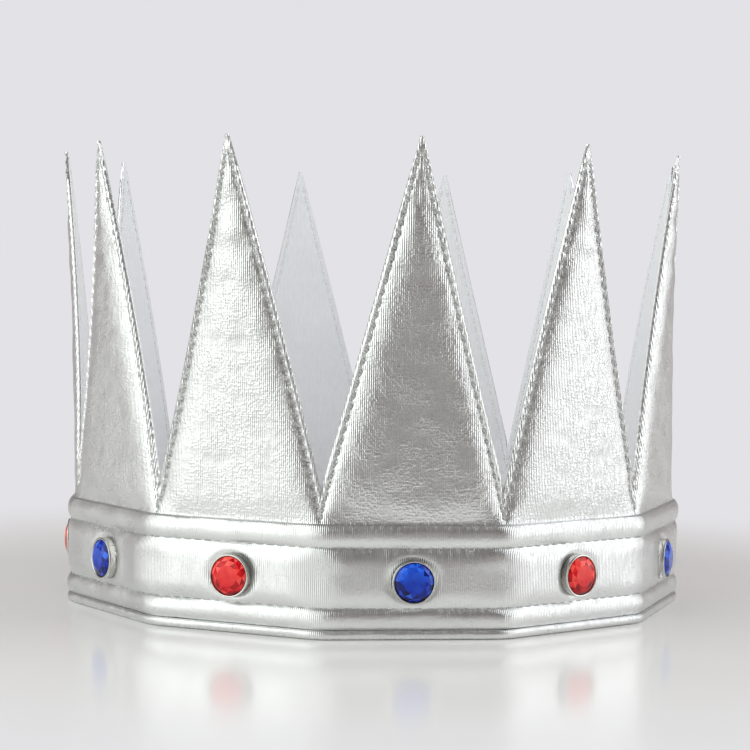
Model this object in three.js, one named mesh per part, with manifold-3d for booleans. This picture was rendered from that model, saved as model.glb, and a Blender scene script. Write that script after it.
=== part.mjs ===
// A soft dress-up crown: a strip of twelve pointed panels, sewn from silver foil cloth over foam
// inserts and a white lining, folded into a ring and closed at the back with hook and loop tape.
// Millimetres, +Z up. The front crease faces -Y and the closure is at +Y.
import * as THREE from 'three';
import { mergeVertices } from 'three/addons/utils/BufferGeometryUtils.js';
import Module from 'manifold-3d';

const wasm = await Module();
wasm.setup();

// Panels. Panel 0 is the outer end, panel 11 the inner end that tucks under it.
const PANEL_COUNT = 12;
const PANEL_WIDTH = 49;
const HALF_WIDTH = PANEL_WIDTH / 2;
const PANEL_TURN = THREE.MathUtils.degToRad(31.5); // fold at each crease round the ring
const LAP_SWING = THREE.MathUtils.degToRad(4.85); // swing that lets one end pass outside the other
const LAST_PANEL = PANEL_COUNT - 1;

// Heights above the table.
const TIP_HEIGHT = 128;
const VALLEY_HEIGHT = 37.8;
const BINDING_HEIGHT = 2.3;
const SHEET_BOTTOM = 2.6;
const BAND_SEAMS = [SHEET_BOTTOM, 8, 23.5, 29.3]; // stitch lines between the band's channels
const GEM_HEIGHT = 15;

// How far the tip of each point leans outwards, from the outer end round to the inner end.
const TIP_LEANS = [5, 5, 7, 7, 9, 5, 4, 5.5, 7.5, 1, 4.5, 5];
const LEAN_POWER = 1.6;

// Layers as [outer, inner] distances from the band's face, positive outwards.
const BAND_LAYER = [0, -0.6];
const CLOTH_LAYER = [-0.9, -1.4];
const INSERT_LAYER = [-1.7, -3.1];
const LINING_LAYER = [-3.4, -3.8];
const BINDING_LAYER = [0.1, -3.9];
const CHANNEL_DIP = 0.25; // how deep the stitches pull the band in
const EDGE_INSET = 2.2; // the foam stops inside the row of edge stitches
const CREASE_INSET = 0.8; // the foam stops short of the creases
const FOAM_SHOULDER = 32; // where the foam starts to narrow
const FOAM_TOP = 119;
const TIP_HALF_WIDTH = 0.45;
const VALLEY_NOTCH = 0.1; // keeps neighbouring points apart at the foot of each valley
const SPLIT_GAP = 0.3; // gap where a movable end meets the rest of the strip

const BEND_STEPS = 5; // flat steps that each leaning point is bent in
const CHANNEL_ROWS = 3;

// Gem settings: a cup with a hollow stem, closed from the lining side by a flat rivet. Radii, and
// distances out from the band's face.
const GEM = { radius: 4.9, facets: 12, back: 1.4, culet: 1.6, girdle: [2.15, 2.5] };
const TABLE = { radius: 3, out: 3.5 };
const CUP = { radius: 5.6, wall: 0.4, bevel: 0.3, back: 0.3, floor: 1, seat: 1.6, lip: 2.7 };
const STEM = { radius: 1.9, bore: 1.25, boreTop: 0.2, end: -2.6, flare: 2.2 };
const RIVET = { radius: 3.4, bevel: 0.5, face: -4.9, shoulder: -4.6, back: -4.1, pin: 0.9, pinEnd: -0.2 };
const HOLE_RADIUS = 2.2;
const DRILL_LENGTH = 12;
const DRILL_SIDES = 10;
const ROUND_SEGMENTS = 12;

// Closure tapes, held inside the lap between the two ends.
const TAPE_HEIGHT = 20;
const TAPE_CENTRE_HEIGHT = 16;
const TAPE_THICKNESS = 0.9;
const TAPE_CORNER = 1.5;
const HOOK_TAPE = { panel: 0, along: -14.25, width: 16.5, face: -5 };
const LOOP_TAPE = { panel: LAST_PANEL, along: 0.25, width: 28.5, face: 0.3 };

const SILVER = { color: 0xc9cbca, roughness: 0.3, metalness: 0.9 };
const FINISHES = {
  silverCloth: SILVER,
  bandCloth: { ...SILVER, roughness: 0.35 },
  bindingCloth: { ...SILVER, roughness: 0.4 },
  foam: { color: 0xe9e8e2, roughness: 0.95, metalness: 0 },
  lining: { color: 0xf4f3f1, roughness: 0.85, metalness: 0 },
  blueGem: { color: 0x1638b8, roughness: 0.08, metalness: 0 },
  redGem: { color: 0xd81f2a, roughness: 0.08, metalness: 0 },
  cupMetal: { color: 0xb8babb, roughness: 0.2, metalness: 1 },
  tape: { color: 0xf0f0ee, roughness: 0.9, metalness: 0 },
};

/** Headings of the panels, in order along the strip, measured from +X. */
function panelHeadings() {
  return Array.from({ length: PANEL_COUNT }, (_, panel) => {
    if (panel === 0) return -Math.PI;
    if (panel === LAST_PANEL) return Math.PI;
    const heading = (panel - (PANEL_COUNT - 1) / 2) * PANEL_TURN;
    const besideLap = panel === 1 || panel === LAST_PANEL - 1;
    return besideLap ? heading + LAP_SWING : heading;
  });
}

/** Corner points of the strip in plan: both free ends and the eleven creases between them. */
function creasePoints(headings) {
  const frontCrease = PANEL_COUNT / 2;
  const points = Array(PANEL_COUNT + 1);
  points[frontCrease] = new THREE.Vector2(0, 0);
  const origin = new THREE.Vector2();
  const step = (panel) => new THREE.Vector2(PANEL_WIDTH, 0).rotateAround(origin, headings[panel]);
  for (let i = frontCrease; i < PANEL_COUNT; i += 1) points[i + 1] = points[i].clone().add(step(i));
  for (let i = frontCrease; i > 0; i -= 1) points[i - 1] = points[i].clone().sub(step(i - 1));
  return points;
}

const headings = panelHeadings();
const creases = creasePoints(headings);

/** Fold angle at crease number i, or 0 at a free end. */
const foldAt = (i) => (i === 0 || i === PANEL_COUNT ? 0 : headings[i] - headings[i - 1]);

/** How far a panel's point stands outwards of its band at a height, bent in flat steps. */
function leanAt(panel, z) {
  const rise = (Math.max(0, z - VALLEY_HEIGHT) / (TIP_HEIGHT - VALLEY_HEIGHT)) * BEND_STEPS;
  const step = Math.min(Math.floor(rise), BEND_STEPS - 1);
  const share = (steps) => (steps / BEND_STEPS) ** LEAN_POWER;
  return TIP_LEANS[panel] * THREE.MathUtils.lerp(share(step), share(step + 1), rise - step);
}

/** Place of a point on a panel: x along it from its middle, z up, out from the band's face. */
function onPanel(panel, x, z, out) {
  const start = -HALF_WIDTH - out * Math.tan(foldAt(panel) / 2);
  const end = HALF_WIDTH + out * Math.tan(foldAt(panel + 1) / 2);
  const along = THREE.MathUtils.lerp(start, end, x / PANEL_WIDTH + 0.5);
  const { travel, normal } = panelAxes(panel);
  const middle = creases[panel].clone().lerp(creases[panel + 1], 0.5);
  return new THREE.Vector3(middle.x, middle.y, z)
    .addScaledVector(travel, along)
    .addScaledVector(normal, out + leanAt(panel, z));
}

/** Directions along a panel and straight out of it. */
function panelAxes(panel) {
  const travel = new THREE.Vector3(Math.cos(headings[panel]), Math.sin(headings[panel]), 0);
  const normal = new THREE.Vector3(travel.y, -travel.x, 0);
  return { travel, normal };
}

/** Half the width of a point at a height, for a sheet cut back from the point's edges by inset. */
function halfWidthAt(z, inset) {
  const rise = TIP_HEIGHT - VALLEY_HEIGHT;
  const slope = (HALF_WIDTH - TIP_HALF_WIDTH) / rise;
  const cutBack = inset * Math.hypot(1, slope);
  return Math.max(TIP_HALF_WIDTH, TIP_HALF_WIDTH + slope * (TIP_HEIGHT - z) - cutBack);
}

/** Moves a box's vertices: s runs along the strip in panels, t runs up, side is +1 on the outside. */
function bentBox(panels, columns, rows, place) {
  const box = new THREE.BoxGeometry(panels, 1, 2, panels * columns, rows, 1).translate(panels / 2, 0.5, 0);
  const corners = box.getAttribute('position');
  for (let i = 0; i < corners.count; i += 1) {
    const { x, y, z } = place(corners.getX(i), corners.getY(i), corners.getZ(i));
    corners.setXYZ(i, x, y, z);
  }
  return box;
}

/** Splits a distance along the strip into a panel and x on it, with gaps where the strip is split. */
function stripPlace(s, first, last) {
  const panel = Math.min(first + Math.floor(s + 1e-6), last);
  let x = (first + s - panel - 0.5) * PANEL_WIDTH;
  if (s === 0 && first > 0) x += SPLIT_GAP / 2;
  if (s === last - first + 1 && last < LAST_PANEL) x -= SPLIT_GAP / 2;
  return { panel, x };
}

/** A plate on one panel with a row of corners at each height, as wide there as halfWidth says. */
function shapedPlate(panel, [outer, inner], heights, halfWidth) {
  const rows = heights.length - 1;
  return bentBox(1, 2, rows, (s, t, side) => {
    const z = heights[Math.round(t * rows)];
    return onPanel(panel, (2 * s - 1) * halfWidth(z), z, side > 0 ? outer : inner);
  });
}

/** Heights of the bends in a point, from the valley up to the tip. */
const bendHeights = Array.from(
  { length: BEND_STEPS + 1 },
  (_, i) => THREE.MathUtils.lerp(VALLEY_HEIGHT, TIP_HEIGHT, i / BEND_STEPS),
);

/** A cloth sheet over panels first to last, with one point on each panel. */
function pointedSheet(first, last, layer) {
  const [outer, inner] = layer;
  let sheet = asSolid(bentBox(last - first + 1, 1, 1, (s, t, side) => {
    const { panel, x } = stripPlace(s, first, last);
    const z = THREE.MathUtils.lerp(SHEET_BOTTOM, VALLEY_HEIGHT, t);
    return onPanel(panel, x, z, side > 0 ? outer : inner);
  }));
  for (let panel = first; panel <= last; panel += 1) {
    const point = shapedPlate(panel, layer, bendHeights, (z) => halfWidthAt(z, VALLEY_NOTCH));
    sheet = sheet.add(asSolid(point));
  }
  return sheet;
}

/** The foam inside one panel and its point, inside the edge stitches. */
function foamInsert(panel) {
  const widest = HALF_WIDTH - CREASE_INSET;
  const halfWidth = (z) => Math.min(widest, halfWidthAt(z, EDGE_INSET));
  const bendsBelowTop = bendHeights.filter((z) => z < FOAM_TOP);
  const heights = [SHEET_BOTTOM, FOAM_SHOULDER, ...bendsBelowTop, FOAM_TOP];
  return asSolid(shapedPlate(panel, INSERT_LAYER, heights, halfWidth));
}

/** The silver band over the foot of panels first to last, crowned between its stitch lines. */
function channelledBand(first, last) {
  const channels = BAND_SEAMS.length - 1;
  const [outer, inner] = BAND_LAYER;
  return asSolid(bentBox(last - first + 1, 1, channels * CHANNEL_ROWS, (s, t, side) => {
    const { panel, x } = stripPlace(s, first, last);
    const channel = Math.min(Math.floor(t * channels + 1e-6), channels - 1);
    const across = t * channels - channel;
    const z = THREE.MathUtils.lerp(BAND_SEAMS[channel], BAND_SEAMS[channel + 1], across);
    const dip = CHANNEL_DIP * (2 * across - 1) ** 2;
    return onPanel(panel, x, z, side > 0 ? outer - dip : inner);
  }));
}

/** The rolled binding that closes the bottom edge of panels first to last. */
function rolledBinding(first, last) {
  const [outer, inner] = BINDING_LAYER;
  const side = (out) => Array.from({ length: last - first + 2 }, (_, i) => {
    const { panel, x } = stripPlace(i, first, last);
    return onPanel(panel, x, 0, out);
  });
  const outline = new THREE.Shape([...side(outer), ...side(inner).reverse()]);
  const roll = 0.5;
  return new THREE.ExtrudeGeometry(outline, {
    depth: BINDING_HEIGHT - 2 * roll,
    bevelThickness: roll,
    bevelSize: roll,
    bevelOffset: -roll,
    bevelSegments: 1,
  }).translate(0, 0, roll);
}

/** A round piece about the gem's axis, from a profile of [radius, distance out] pairs. */
const turned = (profile, segments) => new THREE.LatheGeometry(
  profile.map(([radius, out]) => new THREE.Vector2(radius, out)),
  segments,
);

const gemStone = () => turned([
  [0, GEM.back], [GEM.culet, GEM.back], [GEM.radius, GEM.girdle[0]], [GEM.radius, GEM.girdle[1]],
  [TABLE.radius, TABLE.out], [0, TABLE.out],
], GEM.facets);

const gemCup = () => turned([
  [0, STEM.boreTop], [STEM.bore, STEM.boreTop], [STEM.bore, STEM.end], [STEM.radius, STEM.end],
  [STEM.radius, CUP.back], [CUP.radius - CUP.bevel, CUP.back], [CUP.radius, CUP.back + CUP.bevel],
  [CUP.radius, CUP.lip], [CUP.radius - CUP.wall, CUP.lip], [CUP.radius - CUP.wall, CUP.seat],
  [STEM.flare, CUP.floor], [0, CUP.floor],
], ROUND_SEGMENTS);

const gemRivet = () => turned([
  [0, RIVET.face], [RIVET.radius - RIVET.bevel, RIVET.face], [RIVET.radius, RIVET.shoulder],
  [RIVET.radius, RIVET.back], [RIVET.pin, RIVET.back], [RIVET.pin, RIVET.pinEnd], [0, RIVET.pinEnd],
], ROUND_SEGMENTS);

/** A closure tape: a rounded rectangle as high as the band's padded field. */
function closureTape({ width }) {
  const [right, top] = [width / 2 - TAPE_CORNER, TAPE_HEIGHT / 2 - TAPE_CORNER];
  const outline = new THREE.Shape();
  outline.absarc(right, top, TAPE_CORNER, 0, Math.PI / 2);
  outline.absarc(-right, top, TAPE_CORNER, Math.PI / 2, Math.PI);
  outline.absarc(-right, -top, TAPE_CORNER, Math.PI, 1.5 * Math.PI);
  outline.absarc(right, -top, TAPE_CORNER, 1.5 * Math.PI, 2 * Math.PI);
  return new THREE.ExtrudeGeometry(outline, { depth: TAPE_THICKNESS, bevelEnabled: false, curveSegments: 3 });
}

/** Merged positions and faces of a geometry, without the faces that a pole leaves empty. */
function asSolid(geometry) {
  const bare = geometry.clone();
  bare.deleteAttribute('normal');
  bare.deleteAttribute('uv');
  const merged = mergeVertices(bare, 1e-4);
  const index = Array.from(merged.index.array);
  const faces = [];
  for (let i = 0; i < index.length; i += 3) {
    const [a, b, c] = index.slice(i, i + 3);
    if (a !== b && b !== c && c !== a) faces.push(a, b, c);
  }
  return new wasm.Manifold(new wasm.Mesh({
    numProp: 3,
    vertProperties: new Float32Array(merged.getAttribute('position').array),
    triVerts: new Uint32Array(faces),
  }));
}

/** A three.js geometry of a solid. */
function asGeometry(solid) {
  const { vertProperties, triVerts } = solid.getMesh();
  const geometry = new THREE.BufferGeometry();
  geometry.setAttribute('position', new THREE.BufferAttribute(new Float32Array(vertProperties), 3));
  geometry.setIndex(new THREE.BufferAttribute(new Uint32Array(triVerts), 1));
  return geometry;
}

/** Turns a local frame (x along the panel, y up, z out) to face out of a panel. */
function faceOut(object, panel, along, z, out) {
  const { travel, normal } = panelAxes(panel);
  object.position.copy(onPanel(panel, 0, z, out)).addScaledVector(travel, along);
  object.quaternion.setFromRotationMatrix(
    new THREE.Matrix4().makeBasis(travel, new THREE.Vector3(0, 0, 1), normal),
  );
  return object;
}

/** Turns a round piece so that its axis comes straight out of a panel. */
const AXIS_OUT = new THREE.Quaternion().setFromAxisAngle(new THREE.Vector3(1, 0, 0), Math.PI / 2);
function standOut(object, panel) {
  faceOut(object, panel, 0, GEM_HEIGHT, 0).quaternion.multiply(AXIS_OUT);
  return object;
}

/** Cuts the holes that the gem stems of panels first to last pass through. */
function withStemHoles(uncut, first, last) {
  let solid = uncut;
  for (let panel = first; panel <= Math.min(last, LAST_PANEL - 1); panel += 1) {
    const drill = standOut(new THREE.Object3D(), panel);
    drill.updateMatrix();
    const hole = new THREE.CylinderGeometry(HOLE_RADIUS, HOLE_RADIUS, DRILL_LENGTH, DRILL_SIDES);
    solid = solid.subtract(asSolid(hole.applyMatrix4(drill.matrix)));
  }
  return asGeometry(solid);
}

const ring = new THREE.Group();

/** Adds one named piece with its own material. */
function addPiece(name, geometry, finish) {
  geometry.computeVertexNormals();
  const piece = new THREE.Mesh(geometry, new THREE.MeshStandardMaterial(FINISHES[finish]));
  piece.name = name;
  ring.add(piece);
  return piece;
}

/** Adds the sewn layers of panels first to last. */
function addStrip(prefix, first, last) {
  const sheet = (layer) => withStemHoles(pointedSheet(first, last, layer), first, last);
  addPiece(`${prefix}points_cloth`, sheet(CLOTH_LAYER), 'silverCloth');
  addPiece(`${prefix}lining`, sheet(LINING_LAYER), 'lining');
  addPiece(`${prefix}headband`, withStemHoles(channelledBand(first, last), first, last), 'bandCloth');
  addPiece(`${prefix}bottom_binding`, rolledBinding(first, last), 'bindingCloth');
}

addStrip('', 1, LAST_PANEL - 1);
addStrip('outer_end_', 0, 0);
addStrip('inner_end_', LAST_PANEL, LAST_PANEL);

for (let panel = 0; panel < PANEL_COUNT; panel += 1) {
  const number = String(panel + 1).padStart(2, '0');
  addPiece(`foam_insert_${number}`, withStemHoles(foamInsert(panel), panel, panel), 'foam');
  if (panel === LAST_PANEL) continue;
  const colour = panel % 2 ? 'blue' : 'red';
  standOut(addPiece(`${colour}_gem_${number}`, gemStone(), `${colour}Gem`), panel);
  standOut(addPiece(`gem_cup_${number}`, gemCup(), 'cupMetal'), panel);
  standOut(addPiece(`gem_rivet_${number}`, gemRivet(), 'cupMetal'), panel);
}

for (const [name, tape] of Object.entries({ hook_tape: HOOK_TAPE, loop_tape: LOOP_TAPE })) {
  const piece = addPiece(name, closureTape(tape), 'tape');
  faceOut(piece, tape.panel, tape.along, TAPE_CENTRE_HEIGHT, tape.face);
}

// The origin is under the middle of the crown's box, on the table.
ring.updateMatrixWorld(true);
const box = new THREE.Box3().setFromObject(ring, true);
const centre = box.getCenter(new THREE.Vector3());
ring.position.set(-centre.x, -centre.y, -box.min.z);

export default new THREE.Group().add(ring);
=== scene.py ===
"""A soft dress-up crown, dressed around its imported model.

Twelve pointed panels of silver foil leatherette are sewn over foam and a white lining, banded with
three padded channels, set with faceted gems in nickel cups, and closed with hook and loop tape.
Shapes are worked out in millimetres on flat panels and placed round the ring by CrownPlan; Blender
holds them in metres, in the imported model's own frame.
"""
import logging
import math
from collections.abc import Callable, Iterable, Sequence
from dataclasses import dataclass, field
from enum import Enum
from functools import cached_property, partial

import bmesh
import bpy
import numpy as np
from mathutils import Matrix, Vector


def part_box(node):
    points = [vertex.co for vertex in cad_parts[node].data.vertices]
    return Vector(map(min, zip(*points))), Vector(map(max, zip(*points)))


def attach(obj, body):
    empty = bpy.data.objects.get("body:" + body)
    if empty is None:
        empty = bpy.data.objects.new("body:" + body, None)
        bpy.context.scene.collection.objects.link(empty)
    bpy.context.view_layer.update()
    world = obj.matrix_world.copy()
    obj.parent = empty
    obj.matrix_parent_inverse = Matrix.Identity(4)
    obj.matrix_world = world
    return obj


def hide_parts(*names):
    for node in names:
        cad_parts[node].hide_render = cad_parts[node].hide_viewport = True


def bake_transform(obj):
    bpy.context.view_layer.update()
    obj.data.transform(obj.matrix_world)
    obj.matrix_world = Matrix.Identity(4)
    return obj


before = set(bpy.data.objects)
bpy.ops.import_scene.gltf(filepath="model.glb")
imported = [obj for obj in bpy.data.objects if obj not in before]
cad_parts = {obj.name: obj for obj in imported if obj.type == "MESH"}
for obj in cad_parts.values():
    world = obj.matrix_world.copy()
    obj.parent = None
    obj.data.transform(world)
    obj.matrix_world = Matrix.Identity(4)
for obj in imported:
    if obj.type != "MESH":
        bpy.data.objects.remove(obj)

LOG = logging.getLogger("crown")
MM = 0.001
UV_TILE = 100.0  # millimetres of cloth in one unit of a UV map
WAVE_TURN = math.pi / 10  # distance between the bands of a wave texture at scale 1
FAR = 99.0  # millimetres, further than any edge
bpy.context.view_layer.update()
Socket = bpy.types.NodeSocket
AddNode = Callable[..., Socket]


# ---- The plan of the strip ----


class Section(Enum):
    """The lengths of the sewn strip: the ring itself and the two ends that peel apart."""

    OUTER_END = ("outer_end", 0, 0)
    RING = ("crown", 1, 10)
    INNER_END = ("inner_end", 11, 11)

    @property
    def body(self) -> str:
        """Name of the body that carries this length."""
        return self.value[0]

    @property
    def prefix(self) -> str:
        """What the names of this length's pieces start with."""
        return "" if self is Section.RING else f"{self.body}_"

    @property
    def panels(self) -> range:
        """Panels of this length, in order along the strip."""
        return range(self.value[1], self.value[2] + 1)


@dataclass(frozen=True)
class CrownPlan:
    """Sizes of the crown in millimetres, and the place of any point of its strip.

    A point is given by its panel, x along the panel from its middle, z above the table, and out,
    its distance outwards from the face of the band.
    """

    panel_count: int = 12
    panel_width: float = 49.0
    panel_turn: float = math.radians(31.5)
    lap_swing: float = math.radians(4.85)
    tip_height: float = 128.0
    valley_height: float = 37.8
    tip_half_width: float = 0.45
    band_seams: tuple[float, ...] = (2.6, 8.0, 23.5, 29.3)
    gem_height: float = 15.0
    tip_leans: tuple[float, ...] = (5, 5, 7, 7, 9, 5, 4, 5.5, 7.5, 1, 4.5, 5)
    lean_power: float = 1.6
    binding_face: float = 0.1
    crease_reach: float = 3.2
    soft_crease_reach: float = 9.0
    stitch_inset: float = 1.85
    stitch_pitch: float = 3.0
    stitch_foot: float = 30.5
    stem_hole: float = 2.2

    @property
    def half_width(self) -> float:
        """Half the width of a panel."""
        return self.panel_width / 2

    @property
    def quilt_seams(self) -> tuple[float, ...]:
        """The seams that quilt the band, between its foot and its top edge."""
        return self.band_seams[1:-1]

    @property
    def sheet_bottom(self) -> float:
        """Foot of the sheets, in the binding."""
        return self.band_seams[0]

    @property
    def band_top(self) -> float:
        """Top edge of the band."""
        return self.band_seams[-1]

    @cached_property
    def headings(self) -> list[float]:
        """Direction of travel of each panel, from +X.

        Returns:
            Angles in radians.
        """
        middle = (self.panel_count - 1) / 2
        headings = [(panel - middle) * self.panel_turn for panel in range(self.panel_count)]
        headings[1] += self.lap_swing
        headings[-2] += self.lap_swing
        headings[0], headings[-1] = -math.pi, math.pi
        return headings

    @cached_property
    def creases(self) -> np.ndarray:
        """Plan of the creases on the band's face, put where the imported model's binding lies.

        Returns:
            Points in millimetres, one more than there are panels.
        """
        steps = np.array([[math.cos(h), math.sin(h)] for h in self.headings]) * self.panel_width
        points = np.concatenate([[[0.0, 0.0]], np.cumsum(steps, axis=0)])
        points -= points[self.panel_count // 2]
        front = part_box("bottom_binding")[0].y / MM + self.binding_face / math.cos(self.panel_turn / 2)
        free_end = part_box("outer_end_bottom_binding")[1].x / MM
        return points + [free_end - points[0, 0], front]

    def fold(self, crease: int) -> float:
        """Fold angle at a crease, or 0 at a free end.

        Args:
            crease: Number of the crease, from the outer end.

        Returns:
            The angle in radians.
        """
        if crease in (0, self.panel_count):
            return 0.0
        return self.headings[crease] - self.headings[crease - 1]

    def travel(self, panel: int) -> np.ndarray:
        """Direction along a panel."""
        return np.array([math.cos(self.headings[panel]), math.sin(self.headings[panel]), 0.0])

    def outward(self, panel: int) -> np.ndarray:
        """Direction straight out of a panel."""
        travel = self.travel(panel)
        return np.array([travel[1], -travel[0], 0.0])

    def lean(self, panel: int, z: np.ndarray) -> np.ndarray:
        """How far a panel's point stands outwards of its band at a height."""
        rise = (z - self.valley_height) / (self.tip_height - self.valley_height)
        return self.tip_leans[panel] * np.clip(rise, 0, 1) ** self.lean_power

    def _crease_dip(self, distance: np.ndarray, z: np.ndarray, fold: float) -> np.ndarray:
        """How far the cloth cuts the corner at a crease, most of all across the padded band.

        Args:
            distance: Distances from the crease.
            z: Heights above the table.
            fold: Fold angle of the crease.

        Returns:
            Distances inwards.
        """
        by_gem = np.exp(-(((z - self.gem_height) / 7.0) ** 4))
        soft = by_gem + 0.5 * np.clip((z - self.band_top - 1) / 5, 0, 1)
        reach = self.crease_reach + (self.soft_crease_reach - self.crease_reach) * soft
        near = np.clip(1 - distance / reach, 0, 1)
        return 0.5 * reach * math.sin(fold / 2) * near**2

    def place(self, panel: int, x: np.ndarray, z: np.ndarray, out: np.ndarray) -> np.ndarray:
        """Places points of a panel in space.

        Args:
            panel: Number of the panel.
            x: Distances along it from its middle.
            z: Heights above the table.
            out: Distances outwards from the band's face.

        Returns:
            Points in millimetres, with the arrays' common shape and a last axis of 3.
        """
        x, z, out = np.broadcast_arrays(x, z, out)
        before, after = self.fold(panel), self.fold(panel + 1)
        runs_on = np.clip((self.valley_height + 3 - z) / 3, 0, 1)
        dips = self._crease_dip(self.half_width + x, z, before)
        dips = dips + self._crease_dip(self.half_width - x, z, after)
        out = out - runs_on * dips
        start = -self.half_width - out * math.tan(before / 2)
        end = self.half_width + out * math.tan(after / 2)
        along = start + (end - start) * (x / self.panel_width + 0.5)
        reach = out + self.lean(panel, z)
        middle = (self.creases[panel] + self.creases[panel + 1]) / 2
        flat = middle + along[..., None] * self.travel(panel)[:2] + reach[..., None] * self.outward(panel)[:2]
        return np.concatenate([flat, z[..., None]], axis=-1)

    @property
    def edge_slope(self) -> float:
        """How fast a point's half width grows per millimetre down from its tip."""
        return (self.half_width - self.tip_half_width) / (self.tip_height - self.valley_height)

    @property
    def edge_cosine(self) -> float:
        """Cosine of the angle between a point's edge and the vertical."""
        return 1 / math.hypot(1, self.edge_slope)

    def edge_half_width(self, z: np.ndarray) -> np.ndarray:
        """Half the distance between a point's edges, run on below the valleys."""
        return self.tip_half_width + self.edge_slope * (self.tip_height - z)

    def inset_width(self, z: np.ndarray, inset: float) -> np.ndarray:
        """Half width between lines inside a point's edges, drawn together where it narrows.

        Args:
            z: Heights above the table.
            inset: Distance in from the edge where the point is wide.

        Returns:
            Distances from the middle of the panel, never below 0.
        """
        width = self.edge_half_width(z)
        return width**2 * self.edge_cosine / (width * self.edge_cosine + inset)

    def cut_distance(self, panel: int, x: np.ndarray, z: np.ndarray) -> np.ndarray:
        """Distance in from the nearest cut edge, slanting or at a free end.

        Args:
            panel: Number of the panel.
            x: Distances from the panel's middle.
            z: Heights above the table.

        Returns:
            Distances, negative outside the cloth.
        """
        distance = (self.edge_half_width(z) - np.abs(x)) * self.edge_cosine
        if panel == 0:
            distance = np.minimum(distance, self.half_width + x)
        if panel == self.panel_count - 1:
            distance = np.minimum(distance, self.half_width - x)
        return distance

    def seam_distance(self, panel: int, x: np.ndarray, z: np.ndarray) -> np.ndarray:
        """Distance inside the row of edge stitches, negative in the flat border outside it.

        Args:
            panel: Number of the panel.
            x: Distances from the panel's middle.
            z: Heights above the table.

        Returns:
            Distances in from the stitches.
        """
        width = self.edge_half_width(z) * self.edge_cosine
        inset = self.stitch_inset * width / (width + self.stitch_inset)
        return self.cut_distance(panel, x, z) - inset

    @property
    def stitch_rise(self) -> float:
        """Height between two stitches of an edge row."""
        return self.stitch_pitch * self.edge_cosine

    def climb(self, step: float) -> list[float]:
        """Heights of rows up a point, one of them moved to the valleys.

        Args:
            step: Height between rows.

        Returns:
            Heights from the foot of the stitches to just below the tip.
        """
        below_tip = 1.2
        heights = list(np.arange(self.stitch_foot, self.tip_height - below_tip, step))
        heights[int(round((self.valley_height - self.stitch_foot) / step))] = self.valley_height
        return heights

    def inset_columns(self, z: np.ndarray, insets: Sequence[float]) -> np.ndarray:
        """Places of columns that follow a point's edges and meet in its middle.

        Args:
            z: Heights of the rows.
            insets: Distance of each column in from the edge, from 0 up.

        Returns:
            Distances from the middle of the panel, a row for each height.
        """
        sides = np.stack([self.inset_width(z, inset) for inset in insets], axis=-1)
        sides = np.minimum(sides, self.half_width)
        return np.concatenate([-sides, np.zeros((len(z), 1)), sides[:, ::-1]], axis=-1)

    def crease_columns(self, count: int) -> np.ndarray:
        """Places of straight columns, crowded at the creases.

        Args:
            count: Number of columns between the crowded ones.

        Returns:
            Distances from the middle of the panel.
        """
        half, near, clear = self.half_width, np.array([0.0, 0.4, 0.9, 1.5, 2.2, 3.0]), 4.0
        middle = np.linspace(clear - half, half - clear, count)
        return np.array([*(-half + near), *middle, *(half - near[::-1])])


def ripple(seed: int, x: np.ndarray, z: np.ndarray, wavelength: float, stretch: float = 1.0) -> np.ndarray:
    """Gentle uneven waves, the same ones each time.

    Args:
        seed: Which set of waves.
        x: Distances along the cloth, in millimetres.
        z: Heights, in millimetres.
        wavelength: Usual distance between crests.
        stretch: How much longer the waves are upwards than along.

    Returns:
        Heights, mostly from -1 to 1.
    """
    rng = np.random.default_rng(seed)
    total = np.zeros(np.broadcast(x, z).shape)
    waves = 7
    for _ in range(waves):
        angle, phase = rng.uniform(0, 2 * math.pi, 2)
        turn = 2 * math.pi / (wavelength * rng.uniform(0.7, 1.5))
        total += np.sin(turn * (x * math.cos(angle) + z * math.sin(angle) / stretch) + phase)
    return total / math.sqrt(waves)


def rounded(share: np.ndarray, power: float = 2.3) -> np.ndarray:
    """Rises from 0 to 1 as share does, steeply at first and flat at the end."""
    return 1 - (1 - np.clip(share, 0, 1)) ** power


# ---- Meshes ----


@dataclass
class Patch:
    """A grid of corners on one panel of a sheet, with rows going up and columns along."""

    panel: int
    x: np.ndarray
    z: np.ndarray
    face: np.ndarray
    back: np.ndarray
    rub: np.ndarray


def mesh_object(name: str, corners: np.ndarray, faces: Sequence[Sequence[int]], smooth: bool = True,
                crease_angle: float = math.radians(50)) -> bpy.types.Object:
    """Makes a mesh object at the origin.

    Args:
        name: Name of the object and its mesh.
        corners: Corners in millimetres, one per row.
        faces: Corner numbers of each face, counter-clockwise from outside.
        smooth: Whether faces shade smoothly.
        crease_angle: Edges sharper than this stay crisp.

    Returns:
        The new object, linked to the scene.
    """
    mesh = bpy.data.meshes.new(name)
    mesh.from_pydata((np.asarray(corners) * MM).tolist(), [], [list(face) for face in faces])
    mesh.update()
    if smooth:
        mesh.shade_smooth()
        mesh.set_sharp_from_angle(angle=crease_angle)
    obj = bpy.data.objects.new(name, mesh)
    bpy.context.scene.collection.objects.link(obj)
    return obj


def write_cloth_map(mesh: bpy.types.Mesh, cloth: np.ndarray) -> None:
    """Stores where each corner lies on the flat cloth, in millimetres, as a UV map.

    Args:
        mesh: The mesh.
        cloth: A flat place for each of its corners.
    """
    corner_of = np.zeros(len(mesh.loops), np.int32)
    mesh.loops.foreach_get("vertex_index", corner_of)
    layer = mesh.uv_layers.new(name="cloth")
    layer.data.foreach_set("uv", (cloth[corner_of] / UV_TILE).astype(np.float32).ravel())


def write_rub(mesh: bpy.types.Mesh, rub: np.ndarray) -> None:
    """Stores how rubbed each corner is, from 0 to 1."""
    layer = mesh.attributes.new("rub", "FLOAT", "POINT")
    layer.data.foreach_set("value", rub.astype(np.float32))


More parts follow.
